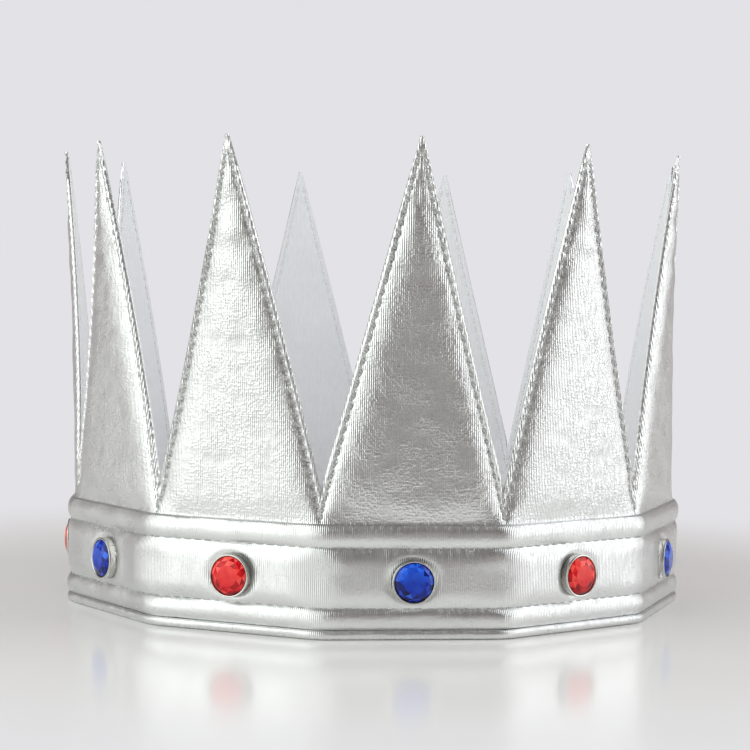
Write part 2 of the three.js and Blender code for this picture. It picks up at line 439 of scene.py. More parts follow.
def tidy_faces(faces: np.ndarray) -> list[list[int]]:
    """Drops repeated corners from faces, and faces with fewer than three corners left.

    Args:
        faces: Corner numbers, one face per row.

    Returns:
        The faces that are left.
    """
    tidy = []
    for face in faces.tolist():
        kept = [corner for i, corner in enumerate(face) if corner != face[i - 1]]
        if len(set(kept)) == len(kept) >= 3:
            tidy.append(kept)
    return tidy


def open_edges(faces: Iterable[Sequence[int]]) -> list[tuple[int, int]]:
    """Directed edges that only one face uses.

    Args:
        faces: Corner numbers of each face.

    Returns:
        Pairs of corner numbers.
    """
    uses: dict[tuple[int, int], tuple[int, int] | None] = {}
    for face in faces:
        for a, b in zip(face, [*face[1:], face[0]]):
            key = (min(a, b), max(a, b))
            uses[key] = None if key in uses else (a, b)
    return [edge for edge in uses.values() if edge]


def grid_quads(index: np.ndarray) -> np.ndarray:
    """Corner numbers of the faces between neighbours in a grid of corners, one face per row."""
    corners = (index[:-1, :-1], index[:-1, 1:], index[1:, 1:], index[1:, :-1])
    return np.stack(corners, axis=-1).reshape(-1, 4)


def capped_tube(index: np.ndarray) -> list[list[int]]:
    """Faces of a tube with closed ends, from a row of corner numbers for each ring.

    Args:
        index: Corner numbers, one ring per row.

    Returns:
        Corner numbers of each face.
    """
    turn = np.roll(index, -1, axis=1)
    quads = np.stack([index[:-1], turn[:-1], turn[1:], index[1:]], axis=-1).reshape(-1, 4)
    return [*quads.tolist(), index[0][::-1].tolist(), index[-1].tolist()]


def closed_sheet(name: str, plan: CrownPlan, patches: Sequence[Patch]) -> bpy.types.Object:
    """Joins patches edge to edge into one closed sheet with a face, a back and a rim.

    Args:
        name: Name of the piece.
        plan: Plan of the crown.
        patches: Grids whose shared edges have the same corners.

    Returns:
        The sheet, with a cloth map and a rub attribute.
    """
    faces, backs, cloths, rubs, quads, count = [], [], [], [], [], 0
    for patch in patches:
        rows, columns = patch.x.shape
        faces.append(plan.place(patch.panel, patch.x, patch.z, patch.face).reshape(-1, 3))
        backs.append(plan.place(patch.panel, patch.x, patch.z, patch.back).reshape(-1, 3))
        along = (patch.panel + 0.5) * plan.panel_width + patch.x
        cloths.append(np.stack([along, patch.z], axis=-1).reshape(-1, 2))
        rubs.append(patch.rub.ravel())
        quads.append(grid_quads(count + np.arange(rows * columns).reshape(rows, columns)))
        count += rows * columns
    outer = np.concatenate(faces)
    _, first, merged = np.unique(np.round(outer, 3), axis=0, return_index=True, return_inverse=True)
    front = tidy_faces(merged.reshape(-1)[np.concatenate(quads)])
    size = len(first)
    rim = [(b, a, a + size, b + size) for a, b in open_edges(front)]
    back = [[corner + size for corner in reversed(face)] for face in front]
    corners = np.concatenate([outer[first], np.concatenate(backs)[first]])
    obj = mesh_object(name, corners, [*front, *rim, *back])
    write_cloth_map(obj.data, np.tile(np.concatenate(cloths)[first], (2, 1)))
    write_rub(obj.data, np.tile(np.concatenate(rubs)[first], 2))
    return obj


def cut_stem_holes(obj: bpy.types.Object, plan: CrownPlan, panels: Iterable[int]) -> None:
    """Cuts the holes that gem stems pass through, under the cups where they don't show.

    Args:
        obj: A closed sheet.
        plan: Plan of the crown.
        panels: Its panels; the last of the strip has no gem and stays whole.
    """
    jewelled = [panel for panel in panels if panel < plan.panel_count - 1]
    if not jewelled:
        return
    drills = bmesh.new()
    radius, length, sides, middle = plan.stem_hole * MM, 14.0 * MM, 20, np.array(-2.0)
    for panel in jewelled:
        centre = Vector(plan.place(panel, np.array(0.0), np.array(plan.gem_height), middle))
        turn = Vector(plan.outward(panel)).to_track_quat("Z", "Y").to_matrix().to_4x4()
        bmesh.ops.create_cone(drills, cap_ends=True, segments=sides, radius1=radius, radius2=radius,
                              depth=length, matrix=Matrix.Translation(centre * MM) @ turn)
    mesh = bpy.data.meshes.new("stem_drills")
    drills.to_mesh(mesh)
    drills.free()
    cutter = bpy.data.objects.new("stem_drills", mesh)
    bpy.context.scene.collection.objects.link(cutter)
    boolean = obj.modifiers.new("stem holes", "BOOLEAN")
    boolean.object, boolean.operation, boolean.solver = cutter, "DIFFERENCE", "MANIFOLD"
    settle(obj)
    bpy.data.objects.remove(cutter)
    bpy.data.meshes.remove(mesh)


def settle(obj: bpy.types.Object) -> bpy.types.Object:
    """Turns an object and its modifiers into a plain mesh.

    Args:
        obj: The object.

    Returns:
        The same object.
    """
    graph = bpy.context.evaluated_depsgraph_get()
    mesh = bpy.data.meshes.new_from_object(obj.evaluated_get(graph), depsgraph=graph)
    old = obj.data
    obj.modifiers.clear()
    obj.data = mesh
    bpy.data.meshes.remove(old)
    mesh.name = obj.name
    return obj


def turned_body(name: str, profile: Sequence[tuple[float, float]], segments: int,
                crease_angle: float = math.radians(40)) -> bpy.types.Object:
    """Turns an outline of (radius, distance out) points round the +Z axis.

    Args:
        name: Name of the object.
        profile: Outline from the axis to the axis, with the body on its left going out.
        segments: Corners round the body.
        crease_angle: Edges sharper than this stay crisp.

    Returns:
        A closed body.
    """
    corners, rings = [], []
    for radius, out in profile:
        if radius < 1e-6:
            rings.append([len(corners)] * segments)
            corners.append((0.0, 0.0, out))
            continue
        rings.append([len(corners) + i for i in range(segments)])
        turns = np.arange(segments) * 2 * math.pi / segments
        corners.extend(zip(radius * np.cos(turns), radius * np.sin(turns), [out] * segments))
    quads = [[low[i], low[(i + 1) % segments], high[(i + 1) % segments], high[i]]
             for low, high in zip(rings, rings[1:]) for i in range(segments)]
    return mesh_object(name, np.array(corners), tidy_faces(np.array(quads)), crease_angle=crease_angle)


def stand_on_panel(obj: bpy.types.Object, plan: CrownPlan, panel: int, along: float, z: float,
                   out: float = 0.0, turn: float = 0.0) -> None:
    """Moves a mesh from its own frame, with +Z coming out, onto a panel.

    Args:
        obj: The object.
        plan: Plan of the crown.
        panel: Number of the panel.
        along: Distance along the panel from its middle.
        z: Height above the table.
        out: Distance out from the band's face.
        turn: Turn about its own +Z, in radians.
    """
    travel, outward = Vector(plan.travel(panel)), Vector(plan.outward(panel))
    axes = Matrix((travel, Vector((0, 0, 1)), outward)).transposed().to_4x4()
    middle = (plan.creases[panel] + plan.creases[panel + 1]) / 2
    centre = Vector((*middle, z)) + travel * along + outward * out
    obj.data.transform(Matrix.Translation(centre * MM) @ axes @ Matrix.Rotation(turn, 4, "Z"))


# ---- Finishes ----


def linear(hexa: str) -> tuple[float, float, float, float]:
    """Turns an sRGB hex colour into the linear colour that Blender wants."""
    channels = [int(hexa.lstrip("#")[i:i + 2], 16) / 255 for i in (0, 2, 4)]
    return (*(c / 12.92 if c <= 0.04045 else ((c + 0.055) / 1.055) ** 2.4 for c in channels), 1.0)


def add_node(tree: bpy.types.NodeTree, kind: str, inputs: dict | None = None, output: int | str = 0,
             **settings: object) -> Socket | None:
    """Adds a node to a tree.

    Args:
        tree: Shader or geometry tree.
        kind: Type name of the node.
        inputs: Socket names or numbers, each with a value, or with another node's output to link.
        output: Name or number of the output wanted.
        settings: Properties of the node.

    Returns:
        That output, or None from a node that has none.
    """
    node = tree.nodes.new(kind)
    for key, value in settings.items():
        setattr(node, key, value)
    for key, value in (inputs or {}).items():
        socket = node.inputs[key]
        if isinstance(value, Socket):
            tree.links.new(value, socket)
        else:
            socket.default_value = value
    return node.outputs[output] if node.outputs else None


def new_material(name: str) -> tuple[bpy.types.Material, AddNode]:
    """Makes an empty node material.

    Args:
        name: Name of the material.

    Returns:
        The material, and what adds a node to it.
    """
    material = bpy.data.materials.new(name)
    material.use_nodes = True
    material.node_tree.nodes.clear()
    return material, partial(add_node, material.node_tree)


def dress(obj: bpy.types.Object, material: bpy.types.Material) -> None:
    """Gives a whole piece one material."""
    obj.data.materials.clear()
    obj.data.materials.append(material)


@dataclass(frozen=True)
class Finish:
    """What every finish shares; each one says what its own surface looks like."""

    name: str

    def surface(self, add: AddNode) -> dict[str, Socket | float]:
        """Adds the finish's patterns.

        Args:
            add: Adds a node to the material.

        Returns:
            Values or outputs for the shader, by the names of its inputs.
        """
        raise NotImplementedError

    def material(self) -> bpy.types.Material:
        """Makes the material.

        Returns:
            The material.
        """
        material, add = new_material(self.name)
        shader = add("ShaderNodeBsdfPrincipled", self.surface(add))
        add("ShaderNodeOutputMaterial", {"Surface": shader})
        return material


@dataclass(frozen=True)
class FoilLeatherette(Finish):
    """Silver foil leatherette: polyurethane film with a metal foil face, laminated to a knit.

    The film is calendered smooth, so it mirrors its surroundings softly. The knit's wales telegraph
    through as fine upright streaks, and handling leaves a shallow leather grain and short creases.
    """

    silver: str = "#e9eaea"
    shade: str = "#dcdddd"
    worn: str = "#f2f2f1"
    roughness: float = 0.28
    wale_pitch: float = 0.55  # drawn at the knit's own spacing
    wale_height: float = 0.05
    grain_size: float = 0.75
    grain_height: float = 0.1
    crease_height: float = 0.09
    handling_height: float = 0.022

    def surface(self, add: AddNode) -> dict[str, Socket | float]:
        """Adds the patterns, as for every Finish.

        Args:
            add: Adds a node to the material.

        Returns:
            Values or sockets for the shader's inputs.
        """
        cloth = add("ShaderNodeUVMap", uv_map="cloth")
        flat = add("ShaderNodeVectorMath", {0: cloth, "Scale": UV_TILE}, operation="SCALE")

        def patterned(scale: tuple[float, float], detail: float) -> Socket:
            """A noise pattern with one cell per scale millimetres along and up.

            Args:
                scale: Length of a cell along and up.
                detail: How much finer detail it has.

            Returns:
                The pattern, from 0 to 1.
            """
            place = add("ShaderNodeVectorMath", {0: flat, 1: (1 / scale[0], 1 / scale[1], 1)},
                             operation="MULTIPLY")
            return add("ShaderNodeTexNoise", {"Vector": place, "Scale": 1.0, "Detail": detail},
                            noise_dimensions="2D")

        ribs = add("ShaderNodeTexWave",
                   {"Vector": flat, "Scale": WAVE_TURN / self.wale_pitch, "Distortion": 0.25, "Detail": 1.0},
                   bands_direction="X", output=1)
        ribs = add("ShaderNodeMath", {0: ribs, 1: 0.5}, operation="SUBTRACT")
        strength = add("ShaderNodeMath", {0: patterned((1.1, 3.5), 2.0), 1: 0.4}, operation="ADD")
        wales = add("ShaderNodeMath", {0: ribs, 1: strength}, operation="MULTIPLY")
        cells = add("ShaderNodeTexVoronoi", {"Vector": flat, "Scale": 1 / self.grain_size},
                    voronoi_dimensions="2D", feature="SMOOTH_F1")
        handling = patterned((9.0, 6.0), 3.0)
        creases = patterned((3.0, 0.55), 2.0)
        where = add("ShaderNodeMapRange", {"Value": handling, "From Min": 0.3, "From Max": 0.56})
        height = add("ShaderNodeMath", {0: wales, 1: self.wale_height}, operation="MULTIPLY")
        reliefs = ((cells, self.grain_height, where), (creases, self.crease_height, where),
                   (handling, self.handling_height, 1.0))
        for relief, amount, mask in reliefs:
            share = add("ShaderNodeMath", {0: mask, 1: amount}, operation="MULTIPLY")
            height = add("ShaderNodeMath", {0: relief, 1: share, 2: height}, operation="MULTIPLY_ADD")
        bump = add("ShaderNodeBump", {"Height": height, "Distance": MM, "Strength": 1.0})

        rub = add("ShaderNodeAttribute", attribute_name="rub", output="Fac")
        scuffs = add("ShaderNodeMapRange", {"Value": patterned((0.8, 0.8), 3.0), "From Min": 0.45,
                                                       "From Max": 0.7})
        wear = add("ShaderNodeMath", {0: rub, 1: scuffs}, operation="MULTIPLY")
        tint = add("ShaderNodeMix", {"Factor": handling, "A": linear(self.shade), "B": linear(self.silver)},
                        data_type="RGBA", output="Result")
        tint = add("ShaderNodeMix", {"Factor": wear, "A": tint, "B": linear(self.worn)},
                        data_type="RGBA", output="Result")
        dull = add("ShaderNodeMapRange", {"Value": handling, "To Min": self.roughness - 0.04,
                                                     "To Max": self.roughness + 0.06})
        dull = add("ShaderNodeMath", {0: wear, 1: 0.22, 2: dull}, operation="MULTIPLY_ADD")
        return {"Base Color": tint, "Roughness": dull, "Metallic": 1.0, "Normal": bump}


@dataclass(frozen=True)
class BrushedKnit(Finish):
    """White tricot lining, brushed on its face: matt, soft, with the knit just showing."""

    white: str = "#e9e9eb"
    shade: str = "#dadade"
    roughness: float = 0.88
    wale_pitch: float = 0.7
    fuzz_height: float = 0.03

    def surface(self, add: AddNode) -> dict[str, Socket | float]:
        """Adds the patterns, as for every Finish.

        Args:
            add: Adds a node to the material.

        Returns:
            Values or sockets for the shader's inputs.
        """
        cloth = add("ShaderNodeUVMap", uv_map="cloth")
        flat = add("ShaderNodeVectorMath", {0: cloth, "Scale": UV_TILE}, operation="SCALE")
        stretched = add("ShaderNodeVectorMath", {0: flat, 1: (1 / self.wale_pitch, 0.35, 1)},
                             operation="MULTIPLY")
        wales = add("ShaderNodeTexNoise", {"Vector": stretched, "Scale": 1.0, "Detail": 2.0},
                         noise_dimensions="2D")
        fuzz = add("ShaderNodeTexNoise", {"Vector": flat, "Scale": 2.2, "Detail": 4.0},
                        noise_dimensions="2D")
        both = add("ShaderNodeMath", {0: wales, 1: fuzz}, operation="ADD")
        height = add("ShaderNodeMath", {0: both, 1: self.fuzz_height}, operation="MULTIPLY")
        bump = add("ShaderNodeBump", {"Height": height, "Distance": MM})
        tint = add("ShaderNodeMix", {"Factor": wales, "A": linear(self.shade), "B": linear(self.white)},
                        data_type="RGBA", output="Result")
        return {"Base Color": tint, "Roughness": self.roughness, "Normal": bump, "Sheen Weight": 0.25,
                "Sheen Roughness": 0.5}


@dataclass(frozen=True)
class CellFoam(Finish):
    """Cut sheet of closed-cell foam: chalky, with fine open bubbles on its faces."""

    colour: str = "#ecebe5"
    shade: str = "#d9d7cf"
    cell_size: float = 0.6
    roughness: float = 0.92

    def surface(self, add: AddNode) -> dict[str, Socket | float]:
        """Adds the patterns, as for every Finish.

        Args:
            add: Adds a node to the material.

        Returns:
            Values or sockets for the shader's inputs.
        """
        place = add("ShaderNodeTexCoord", output="Object")
        cells = add("ShaderNodeTexVoronoi", {"Vector": place, "Scale": 1 / (self.cell_size * MM)})
        bump = add("ShaderNodeBump", {"Height": cells, "Distance": 0.15 * MM})
        tint = add("ShaderNodeMix", {"Factor": cells, "A": linear(self.colour), "B": linear(self.shade)},
                        data_type="RGBA", output="Result")
        return {"Base Color": tint, "Roughness": self.roughness, "Normal": bump}


@dataclass(frozen=True)
class NickelPlate(Finish):
    """Stamped brass, barrel-plated with bright nickel: mirror bright with faint tumbling marks."""

    colour: str = "#dddddb"
    roughness: float = 0.16
    mark_size: float = 0.5

    def surface(self, add: AddNode) -> dict[str, Socket | float]:
        """Adds the patterns, as for every Finish.

        Args:
            add: Adds a node to the material.

        Returns:
            Values or sockets for the shader's inputs.
        """
        place = add("ShaderNodeTexCoord", output="Object")
        marks = add("ShaderNodeTexNoise", {"Vector": place, "Scale": 1 / (self.mark_size * MM),
                                                      "Detail": 3.0})
        dull = add("ShaderNodeMapRange", {"Value": marks, "To Min": self.roughness - 0.06,
                                                     "To Max": self.roughness + 0.12})
        tint = add("ShaderNodeMix", {"Factor": marks, "A": linear("#bdbab3"), "B": linear(self.colour)},
                        data_type="RGBA", output="Result")
        bump = add("ShaderNodeBump", {"Height": marks, "Distance": 0.01 * MM})
        return {"Base Color": tint, "Roughness": dull, "Metallic": 1.0, "Normal": bump}


@dataclass(frozen=True)
class FoiledAcrylic(Finish):
    """Moulded acrylic stone, foiled behind: each facet carries a painted flash of colour for the foil's
    reflections, and the stone is painted lighter towards its top and darker towards its foot.
    """

    deep: str
    body: str
    flash: str
    roughness: float = 0.07

    def surface(self, add: AddNode) -> dict[str, Socket | float]:
        """Adds the patterns, as for every Finish.

        Args:
            add: Adds a node to the material.

        Returns:
            Values or sockets for the shader's inputs.
        """
        # facet: each facet's painted tone (painted flash or painted shade), set when the stone is cut
        facet = add("ShaderNodeAttribute", attribute_name="facet", output="Fac")
        place = add("ShaderNodeTexCoord", output="Object")
        glow = add("ShaderNodeTexNoise", {"Vector": place, "Scale": 1 / (2.4 * MM), "Detail": 1.0})
        uneven = add("ShaderNodeMapRange", {"Value": glow, "From Min": 0.3, "From Max": 0.7,
                                                       "To Min": -0.07, "To Max": 0.07})
        height = add("ShaderNodeSeparateXYZ", {0: place}, output="Z")
        # painted light: the stone's tone is raised towards its top and lowered towards its foot, as if lit
        # from above
        painted_top_light = add("ShaderNodeMapRange", {"Value": height, "From Min": 10 * MM, "From Max": 20 * MM,
                                                     "To Min": -0.22, "To Max": 0.2})
        tone = add("ShaderNodeMath", {0: facet, 1: uneven}, operation="ADD")
        tone = add("ShaderNodeMath", {0: tone, 1: painted_top_light}, operation="ADD")
        colour = add("ShaderNodeValToRGB", {"Fac": tone})
        # ramp stops: deep is the painted shade, body the stone's own colour, flash the painted flash of the
        # foil
        stops = colour.node.color_ramp.elements
        stops[0].position, stops[0].color = 0.0, linear(self.deep)
        stops[1].position, stops[1].color = 1.0, linear(self.flash)
        middle = stops.new(0.55)
        middle.color = linear(self.body)
        return {"Base Color": colour, "Roughness": self.roughness, "IOR": 1.49,
                "Specular IOR Level": 0.3, "Coat Weight": 0.12, "Coat Roughness": 0.03}


@dataclass(frozen=True)
class TwistedThread(Finish):
    """Polyester sewing thread: three plies, so each stitch shows slanting lines and a dull shine."""

    colour: str = "#bcbdbc"
    shade: str = "#959695"
    ply_pitch: float = 0.507
    roughness: float = 0.5

    def surface(self, add: AddNode) -> dict[str, Socket | float]:
        """Adds the patterns, as for every Finish.

        Args:
            add: Adds a node to the material.

        Returns:
            Values or sockets for the shader's inputs.
        """
        place = add("ShaderNodeTexCoord", output="Object")
        plies = add("ShaderNodeTexWave", {"Vector": place, "Scale": WAVE_TURN / (self.ply_pitch * MM),
                                                     "Distortion": 1.5}, bands_direction="DIAGONAL", output=1)
        bump = add("ShaderNodeBump", {"Height": plies, "Distance": 0.06 * MM})
        tint = add("ShaderNodeMix", {"Factor": plies, "A": linear(self.shade), "B": linear(self.colour)},
                        data_type="RGBA", output="Result")
        return {"Base Color": tint, "Roughness": self.roughness, "Normal": bump, "Sheen Weight": 0.2}


@dataclass(frozen=True)
class WovenNylon(Finish):
    """Woven nylon tape: fine crossing yarns under its hooks or loops."""

    colour: str = "#efefec"
    shade: str = "#d4d4d0"
    yarn_pitch: float = 0.507
    roughness: float = 0.6

    def surface(self, add: AddNode) -> dict[str, Socket | float]:
        """Adds the patterns, as for every Finish.

        Args:
            add: Adds a node to the material.

        Returns:
            Values or sockets for the shader's inputs.
        """
        place = add("ShaderNodeTexCoord", output="Object")
        yarns = [add("ShaderNodeTexWave", {"Vector": place, "Scale": WAVE_TURN / (self.yarn_pitch * MM),
                                                      "Distortion": 0.6}, bands_direction=way, output=1)
                 for way in ("X", "Z")]
        weave = add("ShaderNodeMath", {0: yarns[0], 1: yarns[1]}, operation="MULTIPLY")
        bump = add("ShaderNodeBump", {"Height": weave, "Distance": 0.08 * MM})
        tint = add("ShaderNodeMix", {"Factor": weave, "A": linear(self.shade), "B": linear(self.colour)},
                        data_type="RGBA", output="Result")
        return {"Base Color": tint, "Roughness": self.roughness, "Normal": bump}


# ---- Sewing ----


@dataclass(frozen=True)
class Thread:
    """The look of one stitch, in millimetres."""

    length: float
    width: float
    height: float


class StitchRows:
    """Rows of stitches laid by Geometry Nodes along paths on the cloth."""

    def __init__(self) -> None:
        """Builds the tree that lays a stitch at each step of every path."""
        self.tree = bpy.data.node_groups.new("stitch rows", "GeometryNodeTree")
        add, face = partial(add_node, self.tree), self.tree.interface
        face.new_socket("Geometry", in_out="INPUT", socket_type="NodeSocketGeometry")
        self.sockets = {name: face.new_socket(name, in_out="INPUT", socket_type="NodeSocketFloat").identifier
                        for name in ("Pitch", "Length", "Width", "Height")}
        self.sockets["Thread"] = face.new_socket("Thread", in_out="INPUT",
                                                 socket_type="NodeSocketMaterial").identifier
        face.new_socket("Geometry", in_out="OUTPUT", socket_type="NodeSocketGeometry")
        given = add("NodeGroupInput").node.outputs
        dash = self._stitch(add, given)
        line = add("GeometryNodeMeshToCurve", {"Mesh": given["Geometry"]})
        line = add("GeometryNodeResampleCurve", {"Curve": line, "Length": given["Pitch"]},
                        mode="LENGTH")
        tangent = add("GeometryNodeInputTangent")
        outward = add("GeometryNodeInputNamedAttribute", {"Name": "outward"},
                           data_type="FLOAT_VECTOR")
        turn = add("FunctionNodeAlignRotationToVector", {"Vector": tangent}, axis="X")
        turn = add("FunctionNodeAlignRotationToVector", {"Rotation": turn, "Vector": outward},
                        axis="Z", pivot_axis="X")
        size = add("FunctionNodeRandomValue", {"Min": (0.94, 0.86, 0.86), "Max": (1.03, 1.1, 1.1),
                                                          "Seed": 7}, data_type="FLOAT_VECTOR")
        laid = add("GeometryNodeInstanceOnPoints", {"Points": line, "Instance": dash, "Rotation": turn,
                                                               "Scale": size})
        real = add("GeometryNodeRealizeInstances", {"Geometry": laid})
        real = add("GeometryNodeSetMaterial", {"Geometry": real, "Material": given["Thread"]})
        add("NodeGroupOutput", {"Geometry": real})

    def _stitch(self, add: AddNode, given: bpy.types.NodeOutputs) -> Socket:
        """One stitch along +X: a flattened, arched length of thread whose ends go into the cloth.

        Args:
            add: Adds a node to the tree.
            given: The tree's inputs.

        Returns:
            The stitch's geometry.
        """

        def point(x: float, z: float) -> Socket:
            """A point at shares of the stitch's length and height.

            Args:
                x: Share of the length.
                z: Share of the height.

            Returns:
                The point.
            """
            along = add("ShaderNodeMath", {0: given["Length"], 1: x}, operation="MULTIPLY")
            up = add("ShaderNodeMath", {0: given["Height"], 1: z}, operation="MULTIPLY")
            return add("ShaderNodeCombineXYZ", {"X": along, "Z": up})

        arch = add("GeometryNodeCurveQuadraticBezier", {
            "Resolution": 4, "Start": point(-0.5, -0.55), "Middle": point(0.0, 0.75),
            "End": point(0.5, -0.55)})
        radius = add("ShaderNodeMath", {0: given["Width"], 1: 0.5}, operation="MULTIPLY")
        ring = add("GeometryNodeCurvePrimitiveCircle", {"Resolution": 6, "Radius": radius})
        tube = add("GeometryNodeCurveToMesh", {"Curve": arch, "Profile Curve": ring,
                                                          "Fill Caps": True})
        share = add("ShaderNodeMath", {0: given["Height"], 1: given["Width"]}, operation="DIVIDE")
        flatter = add("ShaderNodeCombineXYZ", {"X": 1.0, "Y": 1.0, "Z": share})
        return add("GeometryNodeTransform", {"Geometry": tube, "Scale": flatter})

    def lay(self, name: str, paths: Sequence[tuple[np.ndarray, np.ndarray]], thread: Thread, pitch: float,
            material: bpy.types.Material) -> bpy.types.Object:
        """Lays stitches along paths.

        Args:
            name: Name of the piece.
            paths: Pairs of points in millimetres, from the first stitch's middle on, and outward
                directions at them.
            thread: Size of a stitch.
            pitch: Distance between stitches, in millimetres.
            material: The thread's material.

        Returns:
            One plain mesh of all the stitches.
        """
        edges, count = [], 0
        for points, _ in paths:
            edges += [(count + i, count + i + 1) for i in range(len(points) - 1)]
            count += len(points)
        mesh = bpy.data.meshes.new(name)
        mesh.from_pydata((np.concatenate([points for points, _ in paths]) * MM).tolist(), edges, [])
        layer = mesh.attributes.new("outward", "FLOAT_VECTOR", "POINT")
        layer.data.foreach_set("vector", np.concatenate([way for _, way in paths]).astype(np.float32).ravel())
        obj = bpy.data.objects.new(name, mesh)
        bpy.context.scene.collection.objects.link(obj)
        modifier = obj.modifiers.new("stitch rows", "NODES")
        modifier.node_group = self.tree
        values = {"Pitch": pitch * MM, "Length": thread.length * MM, "Width": thread.width * MM,
                  "Height": thread.height * MM, "Thread": material}
        for socket, value in values.items():
            modifier[self.sockets[socket]] = value
        settle(obj)
        obj.data.shade_smooth()
        return obj


# ---- The crown's pieces ----


class Wardrobe:
    """Every finish on the crown, made once."""

    def __init__(self) -> None:
        """Makes the materials."""
        self.points = FoilLeatherette("silver_foil_points").material()
        self.band = FoilLeatherette("silver_foil_band", wale_height=0.048, grain_height=0.03,
                                    crease_height=0.01).material()
        self.binding = FoilLeatherette("silver_foil_binding", wale_height=0.05, grain_height=0.02,
                                       crease_height=0.01).material()
        self.lining = BrushedKnit("brushed_tricot_lining").material()
        self.foam = CellFoam("closed_cell_foam").material()
        self.cup = NickelPlate("bright_nickel_cup").material()
        self.rivet = NickelPlate("nickel_rivet", colour="#cfcbc2", roughness=0.24).material()
        # stone colours: deep is painted shade, body the stone's own colour, flash a painted flash of the foil
        self.blue = FoiledAcrylic("foiled_acrylic_blue", "#03062e", "#0c2798", "#2c66e6").material()
        self.red = FoiledAcrylic("foiled_acrylic_red", "#5c020b", "#d60e1a", "#ff5a50").material()
        self.thread = TwistedThread("grey_polyester_thread").material()
        self.bobbin = TwistedThread("white_bobbin_thread", "#ececec", "#d0d0d0").material()
        self.hook = WovenNylon("woven_hook_tape").material()
        self.loop = WovenNylon("brushed_loop_tape", "#eeeeea", "#dadad5").material()


@dataclass
class Sewn:
    """What every sewn sub-assembly shares: the plan, the finishes and how a piece joins its body."""

    plan: CrownPlan
    finishes: Wardrobe

    def fasten(self, obj: bpy.types.Object, section: Section) -> None:
        """Attaches a piece of the ring to its body; a piece of either free end only has its place baked into
        its mesh.

        Args:
            obj: The piece.
            section: The length of the strip.
        """
        bend = 8.0
        plan, half = self.plan, self.plan.half_width
        if section is Section.RING:
            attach(obj, section.body)
            return
        panel = section.panels[0]
        way = -1 if section is Section.OUTER_END else 1
        ends = [plan.place(panel, np.array(-way * half + way * step), np.array(0.0), np.array(0.0)) * MM
                for step in (0.0, bend)]
        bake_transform(obj)

    def sew_in(self, obj: bpy.types.Object, section: Section, material: bpy.types.Material, node: str,
               slot: str) -> None:
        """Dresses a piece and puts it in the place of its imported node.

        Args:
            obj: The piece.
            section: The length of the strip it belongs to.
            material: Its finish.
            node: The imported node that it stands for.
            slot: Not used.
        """
        dress(obj, material)
        self.fasten(obj, section)
        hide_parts(node)
        LOG.info("%s: %d faces", obj.name, len(obj.data.polygons))


@dataclass
class Padding:
    """The shape a point's cloth takes when it is blown up against its stitches by the cloth solver.

    The panel is simulated flat and enlarged, held at its stitch lines, and its height is then
    levelled off smoothly.
    """

    plan: CrownPlan
    enlarged: float = 20.0
    rows: int = 61
    columns: int = 29
    top: float = 121.0
    above_band: float = 0.3
    start_unevenness: float = 0.4
    smoothing_passes: int = 4
    frames: int = 20
    pressure: float = 4.0
    slack: float = -0.06
    cap: float = 2.0
    _blown: dict[int, np.ndarray] = field(default_factory=dict)

    def _simulate(self, seed: int) -> np.ndarray:
        """Runs the solver on one flat point.

        Args:
            seed: Which uneven start the cloth has.

        Returns:
            Height of each corner of the grid above its stitches, in millimetres.
        """
        plan, scene = self.plan, bpy.context.scene
        heights = np.linspace(plan.band_top + self.above_band, self.top, self.rows)
        wide = np.minimum(plan.inset_width(heights, plan.stitch_inset), plan.half_width)
        x = wide[:, None] * np.linspace(-1, 1, self.columns)
        index = np.arange(x.size).reshape(x.shape)
        held = np.zeros(x.shape, bool)
        held[[0, -1]] = held[:, [0, -1]] = True
        uneven = np.random.default_rng(seed).uniform(size=x.shape)
        start = np.where(held, 0.0, -self.start_unevenness * uneven)
        corners = np.stack([x, start, np.broadcast_to(heights[:, None], x.shape)], axis=-1).reshape(-1, 3)
        cloth = mesh_object("blown_point", corners * self.enlarged, grid_quads(index).tolist())
        cloth.vertex_groups.new(name="stitched").add(index[held].tolist(), 1.0, "REPLACE")
        solver = cloth.modifiers.new("padding", "CLOTH")
        solver.point_cache.frame_start, solver.point_cache.frame_end = 1, self.frames
        solver.collision_settings.use_collision = False
        settings = solver.settings
        settings.vertex_group_mass = "stitched"
        settings.quality, settings.bending_stiffness, settings.shrink_min = 6, 1.0, self.slack
        settings.use_pressure, settings.uniform_pressure_force = True, self.pressure
        settings.effector_weights.gravity = 0.0
        for frame_number in range(1, self.frames + 1):
            scene.frame_set(frame_number)
        settle(cloth)
        after = np.zeros(len(cloth.data.vertices) * 3)
        cloth.data.vertices.foreach_get("co", after)
        scene.frame_set(1)
        mesh = cloth.data
        bpy.data.objects.remove(cloth)
        bpy.data.meshes.remove(mesh)
        return -after.reshape(-1, 3)[:, 1].reshape(x.shape) / (self.enlarged * MM)

    def fullness(self, seed: int, share: np.ndarray, z: np.ndarray) -> np.ndarray:
        """How full the padding is.

        Args:
            seed: Which run of the solver to use.
            share: Places across the point, from -1 at one row of stitches to 1 at the other.
            z: Heights.

        Returns:
            Fullness from 0 at the stitches to 1 where the cloth rests on the foam.
        """
        if seed not in self._blown:
            height = self._simulate(seed)
            for _ in range(self.smoothing_passes):
                spread = np.pad(height, 1, mode="edge")
                height = (2 * height + spread[:-2, 1:-1] + spread[2:, 1:-1] + spread[1:-1, :-2]
                          + spread[1:-1, 2:]) / 6
            height[[0, -1]] = height[:, [0, -1]] = 0.0
            self._blown[seed] = np.tanh(np.maximum(height, 0) / self.cap)
        grid = self._blown[seed]
        low = self.plan.band_top + self.above_band
        row = np.clip((z - low) / (self.top - low), 0, 1) * (self.rows - 1)
        column = np.clip((share + 1) / 2, 0, 1) * (self.columns - 1)
        r, c = np.minimum(row.astype(int), self.rows - 2), np.minimum(column.astype(int), self.columns - 2)
        a, b = row - r, column - c
        return ((1 - a) * ((1 - b) * grid[r, c] + b * grid[r, c + 1])
                + a * ((1 - b) * grid[r + 1, c] + b * grid[r + 1, c + 1]))


